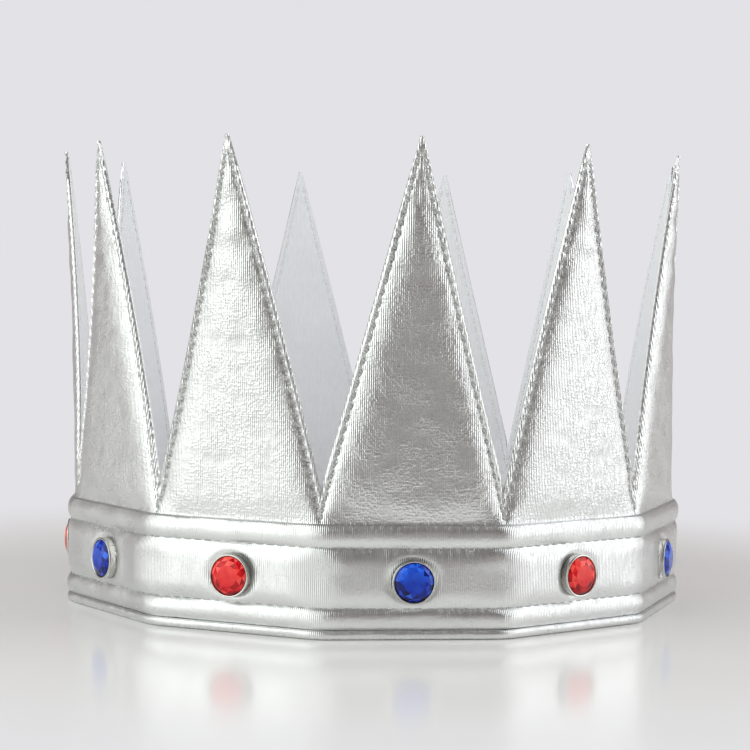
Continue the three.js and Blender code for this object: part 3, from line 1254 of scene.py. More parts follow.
@dataclass
class PointsCloth(Sewn):
    """The silver cloth of the points, padded out between its rows of edge stitches."""

    border: float = -2.45
    crown: float = -0.6
    under_band: float = -1.22
    thickness: float = 0.55
    band_thickness: float = 0.46
    shoulder: float = 6.4
    solver_share: float = 0.75
    solver_runs: int = 3
    foot_rise: float = 7.0
    foot_lift: float = 1.1
    border_ridge: float = 0.36
    edge_drop: float = 0.4
    # Slow ripples of the full cloth: first seed, height, distance between crests, stretch upwards.
    ripples: tuple[tuple[int, float, float, float], ...] = ((11, 0.16, 26, 1.6), (31, 0.07, 9, 1.4))
    # Pull of the stitches: depth between them, extra depth under each, reach, sharpness.
    pulls: tuple[tuple[float, float, float, int], ...] = ((0.06, 0.1, 1.3, 2), (0.12, 0.16, 0.75, 4))

    def __post_init__(self) -> None:
        """Gets the padding solver ready."""
        self.padding = Padding(self.plan)

    def rows(self) -> np.ndarray:
        """Heights of the grid's rows: four to a stitch up the points.

        Returns:
            Heights above the table.
        """
        plan = self.plan
        hidden = [plan.sheet_bottom, 8.0, 15.0, 22.0, 27.0, 28.6]
        seam = [29.3, 29.7, 30.1]
        tip = [plan.tip_height - drop for drop in (0.7, 0.25, 0)]
        return np.array([*hidden, *seam, *plan.climb(plan.stitch_rise / 4), *tip])

    def columns(self, z: np.ndarray) -> np.ndarray:
        """Places of the grid's columns at each height, crowded round the edge stitches."""
        insets = (0, 0.35, 0.8, 1.25, 1.65, self.plan.stitch_inset, 2.45, 2.95, 3.7, 4.9, 7, 10.5, 17, 30, 70)
        return self.plan.inset_columns(z, insets)

    def puff(self, panel: int, x: np.ndarray, z: np.ndarray) -> np.ndarray:
        """How full the padding is, from 0 at the stitches to 1 in the middle.

        Args:
            panel: Number of the panel.
            x: Distances from the panel's middle.
            z: Heights above the table.

        Returns:
            Fullness at each point.
        """
        plan = self.plan
        inside = rounded((plan.seam_distance(panel, x, z) - 0.4) / self.shoulder, 2.0)
        above = rounded((z - plan.band_top - 0.4) / 6.5, 2.0)
        mirror = -1 if panel % 2 else 1
        share = mirror * x / np.minimum(plan.inset_width(z, plan.stitch_inset), plan.half_width)
        blown = self.padding.fullness(panel % self.solver_runs, np.clip(share, -1, 1), z)
        full = (1 - self.solver_share) * inside * above + self.solver_share * blown
        return full * (inside > 0) * (z > plan.band_top)

    def face(self, panel: int, x: np.ndarray, z: np.ndarray) -> np.ndarray:
        """Distance out of the cloth's face.

        Args:
            panel: Number of the panel.
            x: Distances from the panel's middle.
            z: Heights above the table.

        Returns:
            Distances outwards from the plan's face.
        """
        plan = self.plan
        seam, cut = plan.seam_distance(panel, x, z), plan.cut_distance(panel, x, z)
        foot = self.border + self.foot_lift * (1 - np.clip((z - plan.band_top) / self.foot_rise, 0, 1)) ** 2
        full = self.puff(panel, x, z)
        out = foot + (self.crown - foot) * full
        for seed, height, wavelength, stretch in self.ripples:
            out += np.clip(full, 0, 1) * height * ripple(seed + panel, x, z, wavelength, stretch)
        ridge = np.sin(math.pi * np.clip(-seam / (plan.stitch_inset - 0.4), 0, 1))
        below_tip = np.clip((plan.tip_height - z) / 8, 0, 1)
        out += self.border_ridge * ridge * below_tip * (z > plan.band_top + 0.5)
        beat = np.cos(2 * math.pi * (z - plan.stitch_foot) / plan.stitch_rise)
        for depth, extra, reach, sharpness in self.pulls:
            pulled = np.exp(-((seam / reach) ** sharpness)) * (z > plan.stitch_foot - 1)
            out -= (depth + extra * beat) * pulled
        out -= self.edge_drop * np.clip(1 - cut / 0.8, 0, 1) ** 2 * (z > plan.band_top)
        hidden = np.clip((plan.band_top - 0.1 - z) / 0.8, 0, 1)
        return out + (self.under_band - out) * hidden

    def patch(self, panel: int) -> Patch:
        """The grid of one panel.

        Args:
            panel: Number of the panel.

        Returns:
            The panel's corners, on both sides of the sheet.
        """
        plan = self.plan
        heights = self.rows()
        x = self.columns(heights)
        z = np.broadcast_to(heights[:, None], x.shape)
        out = self.face(panel, x, z)
        edge = np.exp(-((plan.cut_distance(panel, x, z) / 1.7) ** 2)) * (z > plan.band_top)
        ridge = np.exp(-((plan.seam_distance(panel, x, z) - 1.2) / 0.7) ** 2) * 0.35
        thin = np.where(z < plan.band_top, self.band_thickness, self.thickness)
        return Patch(panel, x, z, out, out - thin, np.clip(edge + ridge, 0, 1))

    def build(self) -> None:
        """Makes the cloth of each length of the strip."""
        for section in Section:
            obj = closed_sheet(f"{section.prefix}padded_points", self.plan,
                               [self.patch(p) for p in section.panels])
            cut_stem_holes(obj, self.plan, section.panels)
            self.sew_in(obj, section, self.finishes.points, f"{section.prefix}points_cloth", "points_cloth")


@dataclass
class Headband(Sewn):
    """The silver band over the foot of the points: three padded channels between stitched ditches."""

    ditch: float = -0.68
    crests: tuple[float, ...] = (0.2, 0.5, 0.2)
    shoulders: tuple[float, ...] = (2.5, 4.2, 2.7)
    back: float = -0.78
    row_pitch: float = 0.9
    unevenness: float = 0.12
    gather: float = 0.006
    swell: float = 0.07
    under_cup: float = -0.45
    cup_radius: float = 5.1
    collar: float = 0.1
    collar_radius: float = 8.2
    under_tape: float = 0.05
    tape_middle: tuple[float, float] = (0.25, 16.0)
    tape_reach: tuple[float, float] = (14.6, 10.4)
    lip: float = 0.2
    lip_drop: float = 0.45
    hem_drop: float = 0.5
    hem_width: float = 2.6

    def rows(self) -> np.ndarray:
        """Heights of the grid's rows, crowded round the ditches.

        Returns:
            Heights above the table.
        """
        seams, offsets = self.plan.band_seams, np.array([0.25, 0.5, 0.85, 1.3, 1.9])
        heights = list(seams)
        for low, high in zip(seams, seams[1:]):
            count = max(3, int((high - low - 2 * offsets[-1]) / self.row_pitch))
            inner = np.linspace(low + offsets[-1], high - offsets[-1], count)
            heights += [*(low + offsets), *inner, *(high - offsets)]
        return np.unique(np.round([*heights, seams[-1] + self.lip], 4))

    def face(self, panel: int, x: np.ndarray, z: np.ndarray) -> np.ndarray:
        """Distance out of the band's face.

        Args:
            panel: Number of the panel.
            x: Distances from the panel's middle.
            z: Heights above the table.

        Returns:
            Distances outwards from the plan's face.
        """
        plan = self.plan
        along = (panel + 0.5) * plan.panel_width + x
        out = np.full(x.shape, self.ditch)
        for low, high, crest, shoulder in zip(plan.band_seams, plan.band_seams[1:], self.crests,
                                              self.shoulders):
            inside = np.minimum(z - low, high - z)
            full = rounded(inside / shoulder, 2.2)
            fullness = 1 + self.unevenness * ripple(5, along, z * 0, 17)
            puckers = np.cos(2 * math.pi * along / plan.stitch_pitch)
            gathers = ripple(int(low * 10), along, z, 3.4, 5) + puckers
            padded = self.ditch + (crest - self.ditch) * full * fullness
            padded += self.gather * gathers * np.clip(full * (1 - full) * 4, 0, 1)
            out = np.where(inside > 0, padded, out)
        low, high = plan.quilt_seams
        out += self.swell * ripple(3, along, z, 24, 1.0) * (z > low) * (z < high)
        if panel < plan.panel_count - 1:
            reach = np.hypot(x, z - plan.gem_height)
            pressed = np.exp(-((np.maximum(reach - self.cup_radius, 0) / 1.1) ** 2))
            collar = np.exp(-(((reach - self.collar_radius) / 1.5) ** 2))
            out = np.maximum(out + (self.under_cup - out) * pressed + self.collar * collar, self.ditch)
        else:
            beside = np.maximum(np.abs(x - self.tape_middle[0]) - self.tape_reach[0],
                                np.abs(z - self.tape_middle[1]) - self.tape_reach[1])
            level = self.under_tape + 0.4 * np.clip(beside, 0, 1.2)
            out = np.where(beside < 1.2, np.minimum(out, level), out)
        lip = np.clip((z - plan.band_top) / self.lip, 0, 1)
        hem = np.clip(1 - self._end_distance(panel, x) / self.hem_width, 0, 1)
        return out - self.lip_drop * lip - self.hem_drop * hem**2

    def _end_distance(self, panel: int, x: np.ndarray) -> np.ndarray:
        """Distance from the strip's free end, on the panels that have one.

        Args:
            panel: Number of the panel.
            x: Distances from the panel's middle.

        Returns:
            Distances, far where the panel has no free end.
        """
        if panel == 0:
            return self.plan.half_width + x
        if panel == self.plan.panel_count - 1:
            return self.plan.half_width - x
        return np.full(x.shape, FAR)

    def patch(self, panel: int) -> Patch:
        """The grid of one panel.

        Args:
            panel: Number of the panel.

        Returns:
            The panel's corners, on both sides of the sheet.
        """
        plan = self.plan
        z, x = np.meshgrid(self.rows(), plan.crease_columns(41), indexing="ij")
        out = self.face(panel, x, z)
        back = np.minimum(out - 0.5, self.back)
        crease = np.exp(-(plan.half_width - np.abs(x)) / 0.8) * 0.5
        lip = np.exp(-np.abs(z - plan.band_top - self.lip) / 0.25) * 0.6
        return Patch(panel, x, z, out, back, np.clip(crease + lip, 0, 1))

    def build(self) -> None:
        """Makes the band of each length of the strip."""
        for section in Section:
            obj = closed_sheet(f"{section.prefix}channelled_band", self.plan,
                               [self.patch(p) for p in section.panels])
            cut_stem_holes(obj, self.plan, section.panels)
            self.sew_in(obj, section, self.finishes.band, f"{section.prefix}headband", "headband_cloth")


@dataclass
class Lining(Sewn):
    """The white lining, drawn flat across the backs of the panels and pulled in at every seam."""

    face_out: float = -3.25
    thickness: float = 0.45
    fullness: float = 0.12
    swell: float = 0.16
    pull: float = 0.16
    edge_drop: float = 0.14

    def patch(self, panel: int) -> Patch:
        """The grid of one panel.

        Args:
            panel: Number of the panel.

        Returns:
            The panel's corners, on both sides of the sheet.
        """
        plan = self.plan
        low = [plan.sheet_bottom, 4.5, 6.4, 7.4, 8.0, 8.6, 9.8, 12, 15, 18, 21, 22.4, 23, 23.5, 24, 25, 26.5,
               28, 28.8, plan.band_top, 29.9]
        heights = np.array([*low, *plan.climb(plan.stitch_rise / 2), plan.tip_height - 0.7, plan.tip_height])
        x = plan.inset_columns(heights, (0, 0.4, 1.1, plan.stitch_inset, 3.0, 5, 9, 16, 34, 80))
        z = np.broadcast_to(heights[:, None], x.shape)
        seam = plan.seam_distance(panel, x, z)
        full = np.where(z > plan.band_top, rounded((seam - 0.3) / 5), 1.0)
        pull = sum(np.exp(-(((z - ditch) / 0.55) ** 2)) for ditch in plan.band_seams[1:])
        pull = np.clip(pull + np.exp(-((seam / 0.6) ** 2)) * (z > plan.stitch_foot), 0, 1)
        swell = self.swell * ripple(61 + panel, x, z, 18, 1.5) * (1 - pull)
        back = self.face_out - self.thickness - (self.fullness + swell) * full + self.pull * pull
        face = self.face_out - self.edge_drop * np.clip(1 - plan.cut_distance(panel, x, z) / 0.4, 0, 1) ** 2
        return Patch(panel, x, z, face, back, np.zeros(x.shape))

    def build(self) -> None:
        """Makes the lining of each length of the strip."""
        plan = self.plan
        rise = plan.tip_height - plan.valley_height
        panel_area = plan.panel_width * (plan.valley_height - plan.sheet_bottom)
        panel_area += (plan.half_width + plan.tip_half_width) * rise
        for section in Section:
            obj = closed_sheet(f"{section.prefix}white_lining", plan, [self.patch(p) for p in section.panels])
            cut_stem_holes(obj, plan, section.panels)
            self.sew_in(obj, section, self.finishes.lining, f"{section.prefix}lining", "lining")


@dataclass
class BottomBinding(Sewn):
    """The strip of silver cloth rolled round the bottom edge."""

    outline: tuple[tuple[float, float], ...] = (
        (-0.62, 2.5), (-0.25, 2.36), (0.02, 2.0), (0.12, 1.5), (0.08, 0.9), (-0.15, 0.4), (-0.6, 0.08),
        (-1.1, 0.0),
        (-2.8, 0.0), (-3.3, 0.08), (-3.7, 0.4), (-3.92, 0.9), (-3.96, 1.5), (-3.86, 2.0), (-3.6, 2.36),
        (-3.2, 2.5))
    middle: float = -2.0
    swell: float = 0.05
    resting: float = 0.3

    def tube(self, name: str, section: Section) -> bpy.types.Object:
        """Sweeps the outline along one length of the strip, with closed ends.

        Args:
            name: Name of the piece.
            section: The length of the strip.

        Returns:
            A closed body.
        """
        plan = self.plan
        x = np.unique(np.round(plan.crease_columns(29), 4))
        out, z = np.array(self.outline).T
        rings, cloth = [], []
        girth = np.concatenate([[0], np.cumsum(np.hypot(np.diff(out), np.diff(z)))])
        for panel in section.panels:
            for place in x[(1 if panel > section.panels[0] else 0):]:
                along = (panel + 0.5) * plan.panel_width + place
                swell = self.swell * ripple(9, np.full(z.shape, along), z * 2, 7) * (z > self.resting)
                way = np.where(out > self.middle, 1, -1)
                rings.append(plan.place(panel, np.full(z.shape, place), z, out + swell * way))
                cloth.append(np.stack([np.full(z.shape, along), z[0] - girth], axis=-1))
        count = len(rings)
        faces = capped_tube(np.arange(count * len(z)).reshape(count, -1))
        obj = mesh_object(name, np.concatenate(rings), faces, crease_angle=math.radians(70))
        write_cloth_map(obj.data, np.concatenate(cloth))
        write_rub(obj.data, np.tile(np.exp(-((z - 0.5) / 0.6) ** 2), count) * 0.8)
        return obj

    def build(self) -> None:
        """Makes the binding of each length of the strip."""
        for section in Section:
            obj = self.tube(f"{section.prefix}rolled_binding", section)
            self.sew_in(obj, section, self.finishes.binding, f"{section.prefix}bottom_binding",
                        "binding_cloth")


@dataclass
class FoamInserts(Sewn):
    """The foam plates that fill the panels, thinned towards their edges."""

    band_face: float = -1.85
    gap: float = 0.12
    back: float = -3.15
    foot: float = 3.0
    top: float = 118.5
    seam_gap: float = 0.55
    crease_gap: float = 0.8
    edge: float = 2.4

    def build(self) -> None:
        """Makes one plate for each panel."""
        plan, cloth = self.plan, PointsCloth(self.plan, self.finishes)
        heights = np.array([self.foot, 3.6, 6, 10, 15, 20, 26, 28, 29.4, 31, 33, *np.linspace(36, 116, 33),
                            117.5, self.top])
        wide = np.minimum(plan.inset_width(heights, plan.stitch_inset) - self.seam_gap,
                          plan.half_width - self.crease_gap)
        shares = np.array([0, 0.02, 0.06, 0.14, 0.3, 0.55, 0.8, 1.0])
        steps = np.concatenate([-(1 - shares), (1 - shares)[::-1][1:]])
        for section in Section:
            for panel in section.panels:
                x = wide[:, None] * steps[None, :]
                z = np.broadcast_to(heights[:, None], x.shape)
                inside = np.minimum(wide[:, None] - np.abs(x), np.minimum(z - self.foot, self.top - z))
                thin = 1 - rounded(inside / self.edge, 2)
                under = cloth.face(panel, x, z) - cloth.thickness - self.gap
                face = np.where(z < plan.band_top + 1, self.band_face, under) - 0.5 * thin
                back = self.back + 0.15 * thin
                patch = Patch(panel, x, z, np.maximum(face, back + 0.1), back, np.zeros(x.shape))
                obj = closed_sheet(f"foam_plate_{panel + 1:02d}", plan, [patch])
                cut_stem_holes(obj, plan, [panel])
                self.sew_in(obj, section, self.finishes.foam, f"foam_insert_{panel + 1:02d}", "foam")


@dataclass
class EdgeStitching(Sewn):
    """The rows of stitches: along the points, in the ditches of the band, and up the free ends."""

    point_thread: Thread = Thread(2.35, 1.2, 0.42)
    ditch_thread: Thread = Thread(2.3, 0.42, 0.3)
    lining_thread: Thread = Thread(2.4, 0.55, 0.35)
    face_level: float = -2.56
    lining_level: float = -3.62
    ditch_level: float = -0.66
    tip_gap: float = 4.2
    hem_inset: float = 2.9
    hem_foot: float = 4.4
    hem_stitches: int = 9

    def _edge_rows(self, panel: int, out: float, way: float) -> list[tuple[np.ndarray, np.ndarray]]:
        """Both rows up the edges of a point, on its face or its lining.

        Args:
            panel: Number of the panel.
            out: Level of the stitches.
            way: 1 on the face, -1 on the lining.

        Returns:
            Points and outward directions of each row.
        """
        plan = self.plan
        z = np.arange(plan.stitch_foot + plan.stitch_rise / 2, plan.tip_height - self.tip_gap,
                      plan.stitch_rise)
        x = plan.inset_width(z, plan.stitch_inset)
        low = np.clip((plan.stitch_foot + 6 - z) / 6, 0, 1)
        level = out + 0.75 * low**2 * (way > 0)
        outward = np.tile(plan.outward(panel) * way, (len(z), 1))
        inside = x < plan.half_width - 0.2
        return [(plan.place(panel, side * x, z, level)[inside], outward[inside]) for side in (-1, 1)]

    def _ditch_rows(self, panel: int, heights: Sequence[float], out: float,
                    way: float) -> list[tuple[np.ndarray, np.ndarray]]:
        """The straight rows that quilt the band.

        Args:
            panel: Number of the panel.
            heights: Height of each row.
            out: Level of the stitches.
            way: 1 on the face, -1 on the lining.

        Returns:
            Points and outward directions of each row.
        """
        plan = self.plan
        count = int(round(plan.panel_width / plan.stitch_pitch))
        x = plan.panel_width * ((np.arange(count) + 0.5) / count - 0.5)
        outward = np.tile(plan.outward(panel) * way, (count, 1))
        return [(plan.place(panel, x, np.full(count, z), np.full(count, out)), outward) for z in heights]

    def _hem_row(self, panel: int) -> list[tuple[np.ndarray, np.ndarray]]:
        """The upright row that closes the band's free end, on the panels that have one.

        Args:
            panel: Number of the panel.

        Returns:
            Points and outward directions of the row, or nothing.
        """
        plan = self.plan
        if 0 < panel < plan.panel_count - 1:
            return []
        z = self.hem_foot + plan.stitch_pitch * np.arange(self.hem_stitches)
        x = np.full(len(z), (plan.half_width - self.hem_inset) * (-1 if panel == 0 else 1))
        level = Headband(plan, self.finishes).face(panel, x, z) + 0.03
        return [(plan.place(panel, x, z, level), np.tile(plan.outward(panel), (len(z), 1)))]

    def build(self) -> None:
        """Lays the stitches of each length of the strip."""
        rows, plan = StitchRows(), self.plan
        for section in Section:
            panels = section.panels
            laid = {
                "edge_stitches": (
                    [row for p in panels for row in self._edge_rows(p, self.face_level, 1)],
                    self.point_thread, self.finishes.thread, "points_cloth"),
                "band_stitches": (
                    [row for p in panels for row in [*self._ditch_rows(p, plan.quilt_seams, self.ditch_level,
                                                                       1), *self._hem_row(p)]],
                    self.ditch_thread, self.finishes.thread, "headband_cloth"),
                "lining_stitches": (
                    [row for p in panels for row in [
                        *self._edge_rows(p, self.lining_level, -1),
                        *self._ditch_rows(p, plan.band_seams[1:], self.lining_level, -1)]],
                    self.lining_thread, self.finishes.bobbin, "lining"),
            }
            for name, (paths, thread, material, slot) in laid.items():
                obj = rows.lay(f"{section.prefix}{name}", paths, thread, plan.stitch_pitch, material)
                self.fasten(obj, section)
                LOG.info("%s: %d faces", obj.name, len(obj.data.polygons))


@dataclass
class GemSetting(Sewn):
    """A faceted stone in a nickel cup, closed by a rivet on the lining side."""

    table_radius: float = 2.85
    crown_radius: float = 4.15
    girdle_radius: float = 4.98
    table_out: float = 2.95
    crown_out: float = 2.5
    girdle_out: tuple[float, float] = (1.55, 1.8)
    facets: int = 12

    def stone(self, name: str, seed: int) -> bpy.types.Object:
        """Cuts one stone as the hull of its facets' corners, each facet with its own painted tone: a painted
        flash on the table, random painted flashes on the crown facets and painted shade on the steep sides.

        Args:
            name: Name of the piece.
            seed: Seed of the facets' painted flashes.

        Returns:
            A closed body.
        """
        turns = np.arange(self.facets) * 2 * math.pi / self.facets
        between = turns + math.pi / self.facets
        fine = np.arange(2 * self.facets) * math.pi / self.facets
        rings = [(self.table_radius, self.table_out, between), (self.crown_radius, self.crown_out, turns),
                 (self.girdle_radius, self.girdle_out[1], fine),
                 (self.girdle_radius, self.girdle_out[0], fine),
                 (1.6, 0.9, turns)]
        cut = bmesh.new()
        for radius, out, angles in rings:
            for angle in angles:
                cut.verts.new((radius * math.cos(angle) * MM, radius * math.sin(angle) * MM, out * MM))
        hull = bmesh.ops.convex_hull(cut, input=cut.verts)
        bmesh.ops.delete(cut, geom=hull["geom_interior"] + hull["geom_unused"], context="VERTS")
        bmesh.ops.dissolve_limit(cut, angle_limit=math.radians(0.5), verts=cut.verts, edges=cut.edges)
        bmesh.ops.recalc_face_normals(cut, faces=cut.faces)
        mesh = bpy.data.meshes.new(name)
        cut.to_mesh(mesh)
        cut.free()
        rng = np.random.default_rng(seed)
        painted_facet_tones = []
        for face in mesh.polygons:
            up = face.normal.z
            # painted light: the flat table gets a fixed painted flash, each sloping crown facet a random
            # painted flash, the steep sides painted shade
            tone = 0.68 if up > 0.97 else rng.uniform(0.12, 1.0) if up > 0.35 else 0.08
            painted_facet_tones += [tone] * face.loop_total
        layer = mesh.attributes.new("facet", "FLOAT", "CORNER")
        layer.data.foreach_set("value", np.array(painted_facet_tones, np.float32))
        obj = bpy.data.objects.new(name, mesh)
        bpy.context.scene.collection.objects.link(obj)
        bevel = obj.modifiers.new("polished arrises", "BEVEL")
        bevel.width, bevel.segments, bevel.limit_method = 0.06 * MM, 1, "ANGLE"
        bevel.angle_limit = math.radians(8)
        return settle(obj)

    def cup(self, name: str) -> bpy.types.Object:
        """Turns the cup: hollow stem, floor, thin wall and a rolled lip round the stone.

        Args:
            name: Name of the piece.

        Returns:
            A closed body.
        """
        outline = [(0, -0.1), (1.25, -0.1), (1.25, -3.0), (1.45, -3.2), (1.9, -3.2), (1.9, -0.42),
                   (5.1, -0.42),
                   (5.45, -0.3), (5.6, 0.0), (5.6, 1.55), (5.66, 1.85), (5.6, 2.04), (5.42, 2.12),
                   (5.22, 2.08), (5.1, 1.95), (5.06, 1.8), (5.06, 0.9), (4.9, 0.75), (2.0, 0.4), (0, 0.4)]
        return turned_body(name, outline, 56, math.radians(60))

    def rivet(self, name: str) -> bpy.types.Object:
        """Turns the rivet: a low dome on the lining and a pin up the cup's stem.

        Args:
            name: Name of the piece.

        Returns:
            A closed body.
        """
        outline = [(0, -4.85), (1.2, -4.8), (2.2, -4.62), (2.9, -4.3), (3.3, -4.0), (3.4, -3.86),
                   (3.25, -3.76),
                   (0.95, -3.76), (0.95, -0.6), (0.7, -0.35), (0, -0.3)]
        return turned_body(name, outline, 40, math.radians(60))

    def build(self) -> None:
        """Sets a gem on every panel but the inner end's, which tucks under the lap."""
        plan = self.plan
        for section in (Section.OUTER_END, Section.RING):
            for panel in section.panels:
                number = f"{panel + 1:02d}"
                colour = "blue" if panel % 2 else "red"
                turn = np.random.default_rng(panel).uniform(0, math.pi / 6)
                made = [(self.stone(f"{colour}_stone_{number}", 40 + panel), getattr(self.finishes, colour),
                         f"{colour}_gem_{number}", f"{colour}_gem"),
                        (self.cup(f"nickel_cup_{number}"), self.finishes.cup, f"gem_cup_{number}",
                         "cup_metal"),
                        (self.rivet(f"nickel_rivet_{number}"), self.finishes.rivet, f"gem_rivet_{number}",
                         "rivet_metal")]
                for obj, material, node, slot in made:
                    stand_on_panel(obj, plan, panel, 0.0, plan.gem_height, turn=turn)
                    dress(obj, material)
                    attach(obj, section.body)
                    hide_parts(node)
        LOG.info("gem settings: %d", plan.panel_count - 1)


class Pile(Enum):
    """The two sides of the closure."""

    HOOKS = "hooks"
    LOOPS = "loops"


class TapePile:
    """Hooks or loops of nylon, stood in rows on a tape by Geometry Nodes."""

    def __init__(self, pile: Pile, height: float, yarn: float) -> None:
        """Builds the tree.

        Args:
            pile: Which side of the closure.
            height: How far the pile stands up, in millimetres.
            yarn: Thickness of one filament, in millimetres.
        """
        self.tree = bpy.data.node_groups.new(f"tape {pile.value}", "GeometryNodeTree")
        add, face = partial(add_node, self.tree), self.tree.interface
        self.sockets = {name: face.new_socket(name, in_out="INPUT", socket_type="NodeSocketFloat").identifier
                        for name in ("Along", "Up", "Pitch")}
        self.sockets["Nylon"] = face.new_socket("Nylon", in_out="INPUT",
                                                socket_type="NodeSocketMaterial").identifier
        face.new_socket("Geometry", in_out="OUTPUT", socket_type="NodeSocketGeometry")
        given = add("NodeGroupInput").node.outputs

        counts = [add("ShaderNodeMath", {0: given[side], 1: given["Pitch"]}, operation="DIVIDE")
                  for side in ("Along", "Up")]
        grid = add("GeometryNodeMeshGrid", {
            "Size X": given["Along"], "Size Y": given["Up"], "Vertices X": counts[0],
            "Vertices Y": counts[1]})
        drift = 0.22 * MM
        offset = add("FunctionNodeRandomValue", {"Min": (-drift, -drift, 0), "Max": (drift, drift, 0),
                                                            "Seed": 3}, data_type="FLOAT_VECTOR")
        grid = add("GeometryNodeSetPosition", {"Geometry": grid, "Offset": offset})
        reach = 0.36 * MM
        tip = 0.55 * height * MM if pile is Pile.HOOKS else -0.1 * height * MM
        tuft = add("GeometryNodeCurvePrimitiveBezierSegment", {
            "Resolution": 7, "Start": (-reach, 0, -0.1 * height * MM),
            "Start Handle": (-reach, 0, 1.3 * height * MM),
            "End Handle": (reach, 0, 1.3 * height * MM), "End": (reach, 0, tip)})
        ring = add("GeometryNodeCurvePrimitiveCircle", {"Resolution": 4, "Radius": yarn / 2 * MM})
        tuft = add("GeometryNodeCurveToMesh", {"Curve": tuft, "Profile Curve": ring,
                                                          "Fill Caps": True})
        swing = 0.35 if pile is Pile.HOOKS else 1.5
        turn = add("FunctionNodeRandomValue", {"Min": (-0.15, -0.15, -swing), "Max": (0.15, 0.15, swing),
                                                          "Seed": 5}, data_type="FLOAT_VECTOR")
        stood = add("GeometryNodeInstanceOnPoints", {"Points": grid, "Instance": tuft,
                                                                "Rotation": turn})
        real = add("GeometryNodeRealizeInstances", {"Geometry": stood})
        real = add("GeometryNodeSetMaterial", {"Geometry": real, "Material": given["Nylon"]})
        add("NodeGroupOutput", {"Geometry": real})

    def stand(self, name: str, along: float, up: float, pitch: float,
              nylon: bpy.types.Material) -> bpy.types.Object:
        """Stands the pile on a rectangle.

        Args:
            name: Name of the piece.
            along: Length of the rectangle, in millimetres.
            up: Height of the rectangle, in millimetres.
            pitch: Distance between tufts, in millimetres.
            nylon: Material of the tufts.

        Returns:
            One plain mesh of all the tufts.
        """
        obj = mesh_object(name, np.zeros((1, 3)), [])
        modifier = obj.modifiers.new("pile", "NODES")
        modifier.node_group = self.tree
        for socket, value in {"Along": along * MM, "Up": up * MM, "Pitch": pitch * MM,
                              "Nylon": nylon}.items():
            modifier[self.sockets[socket]] = value
        settle(obj)
        obj.data.shade_smooth()
        return obj


@dataclass
class ClosureTape(Sewn):
    """One side of the closure: a woven tape with its pile, sewn down round its edge."""

    pile: Pile
    section: Section
    node: str
    along: float
    width: float
    out: float
    pitch: float
    pile_height: float
    height: float = 20.0
    middle: float = 16.0
    corner: float = 1.5
    thickness: float = 0.45
    seam: float = 1.3
    seam_clearance: float = 0.7
    yarn: float = 0.16
    thread: Thread = Thread(2.1, 0.45, 0.3)
    thread_pitch: float = 2.6

    def outline(self, inset: float) -> np.ndarray:
        """The tape's rounded outline, drawn in from its edge.

        Args:
            inset: Distance in from the edge.

        Returns:
            Points in order round the tape.
        """
        quarter = np.linspace(0, math.pi / 2, 6)
        half, up, radius = self.width / 2, self.height / 2, self.corner
        corners = [(half - radius, up - radius), (-half + radius, up - radius),
                   (-half + radius, -up + radius), (half - radius, -up + radius)]
        points = [(x + (radius - inset) * math.cos(turn + side * math.pi / 2),
                   y + (radius - inset) * math.sin(turn + side * math.pi / 2))
                  for side, (x, y) in enumerate(corners) for turn in quarter]
        return np.array(points)

    def tape(self) -> bpy.types.Object:
        """Makes the woven tape as a thin slab with softened edges.

        Returns:
            A closed body.
        """
        soft = 0.12
        levels = [(soft, 0.0), (0.0, soft), (0.0, self.thickness - soft), (soft, self.thickness)]
        corners = np.concatenate([np.insert(self.outline(inset), 2, z, axis=1) for inset, z in levels])
        faces = capped_tube(np.arange(len(corners)).reshape(len(levels), -1))
        return mesh_object(f"woven_{self.node}", corners, faces)

    def seam_path(self) -> tuple[np.ndarray, np.ndarray]:
        """The line of stitches round the tape.

        Returns:
            Points of the line, and the outward direction at each.
        """
        points = np.insert(self.outline(self.seam), 2, self.thickness, axis=1)
        points = np.concatenate([points, points[:1]])
        return points, np.tile([0.0, 0.0, 1.0], (len(points), 1))

    def build(self) -> None:
        """Makes the tape, its pile and its stitches."""
        nylon = self.finishes.hook if self.pile is Pile.HOOKS else self.finishes.loop
        tape = self.tape()
        dress(tape, nylon)
        border = 2 * (self.seam + self.seam_clearance)
        tufts = TapePile(self.pile, self.pile_height, self.yarn).stand(
            f"{self.node}_{self.pile.value}", self.width - border, self.height - border, self.pitch, nylon)
        tufts.data.transform(Matrix.Translation((0, 0, self.thickness * MM)))
        stitches = StitchRows().lay(f"{self.node}_stitches", [self.seam_path()], self.thread,
                                    self.thread_pitch, self.finishes.bobbin)
        for obj in (tape, tufts, stitches):
            if self.pile is Pile.HOOKS:
                obj.data.transform(Matrix.Rotation(math.pi, 4, "X"))
            stand_on_panel(obj, self.plan, self.section.panels[0], self.along, self.middle, self.out)
            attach(obj, self.section.body)
        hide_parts(self.node)
        LOG.info("%s: %d faces of pile", tape.name, len(tufts.data.polygons))


# ---- The studio ----


@dataclass(frozen=True)
class Window:
    """A tall window, as a rectangular light that faces the crown."""

    name: str
    right: float  # degrees right of the camera, seen from the crown
    up: float  # degrees above the table
    size: tuple[float, float]  # metres
    power: float  # watts
    colour: str
    distance: float = 1.3  # metres


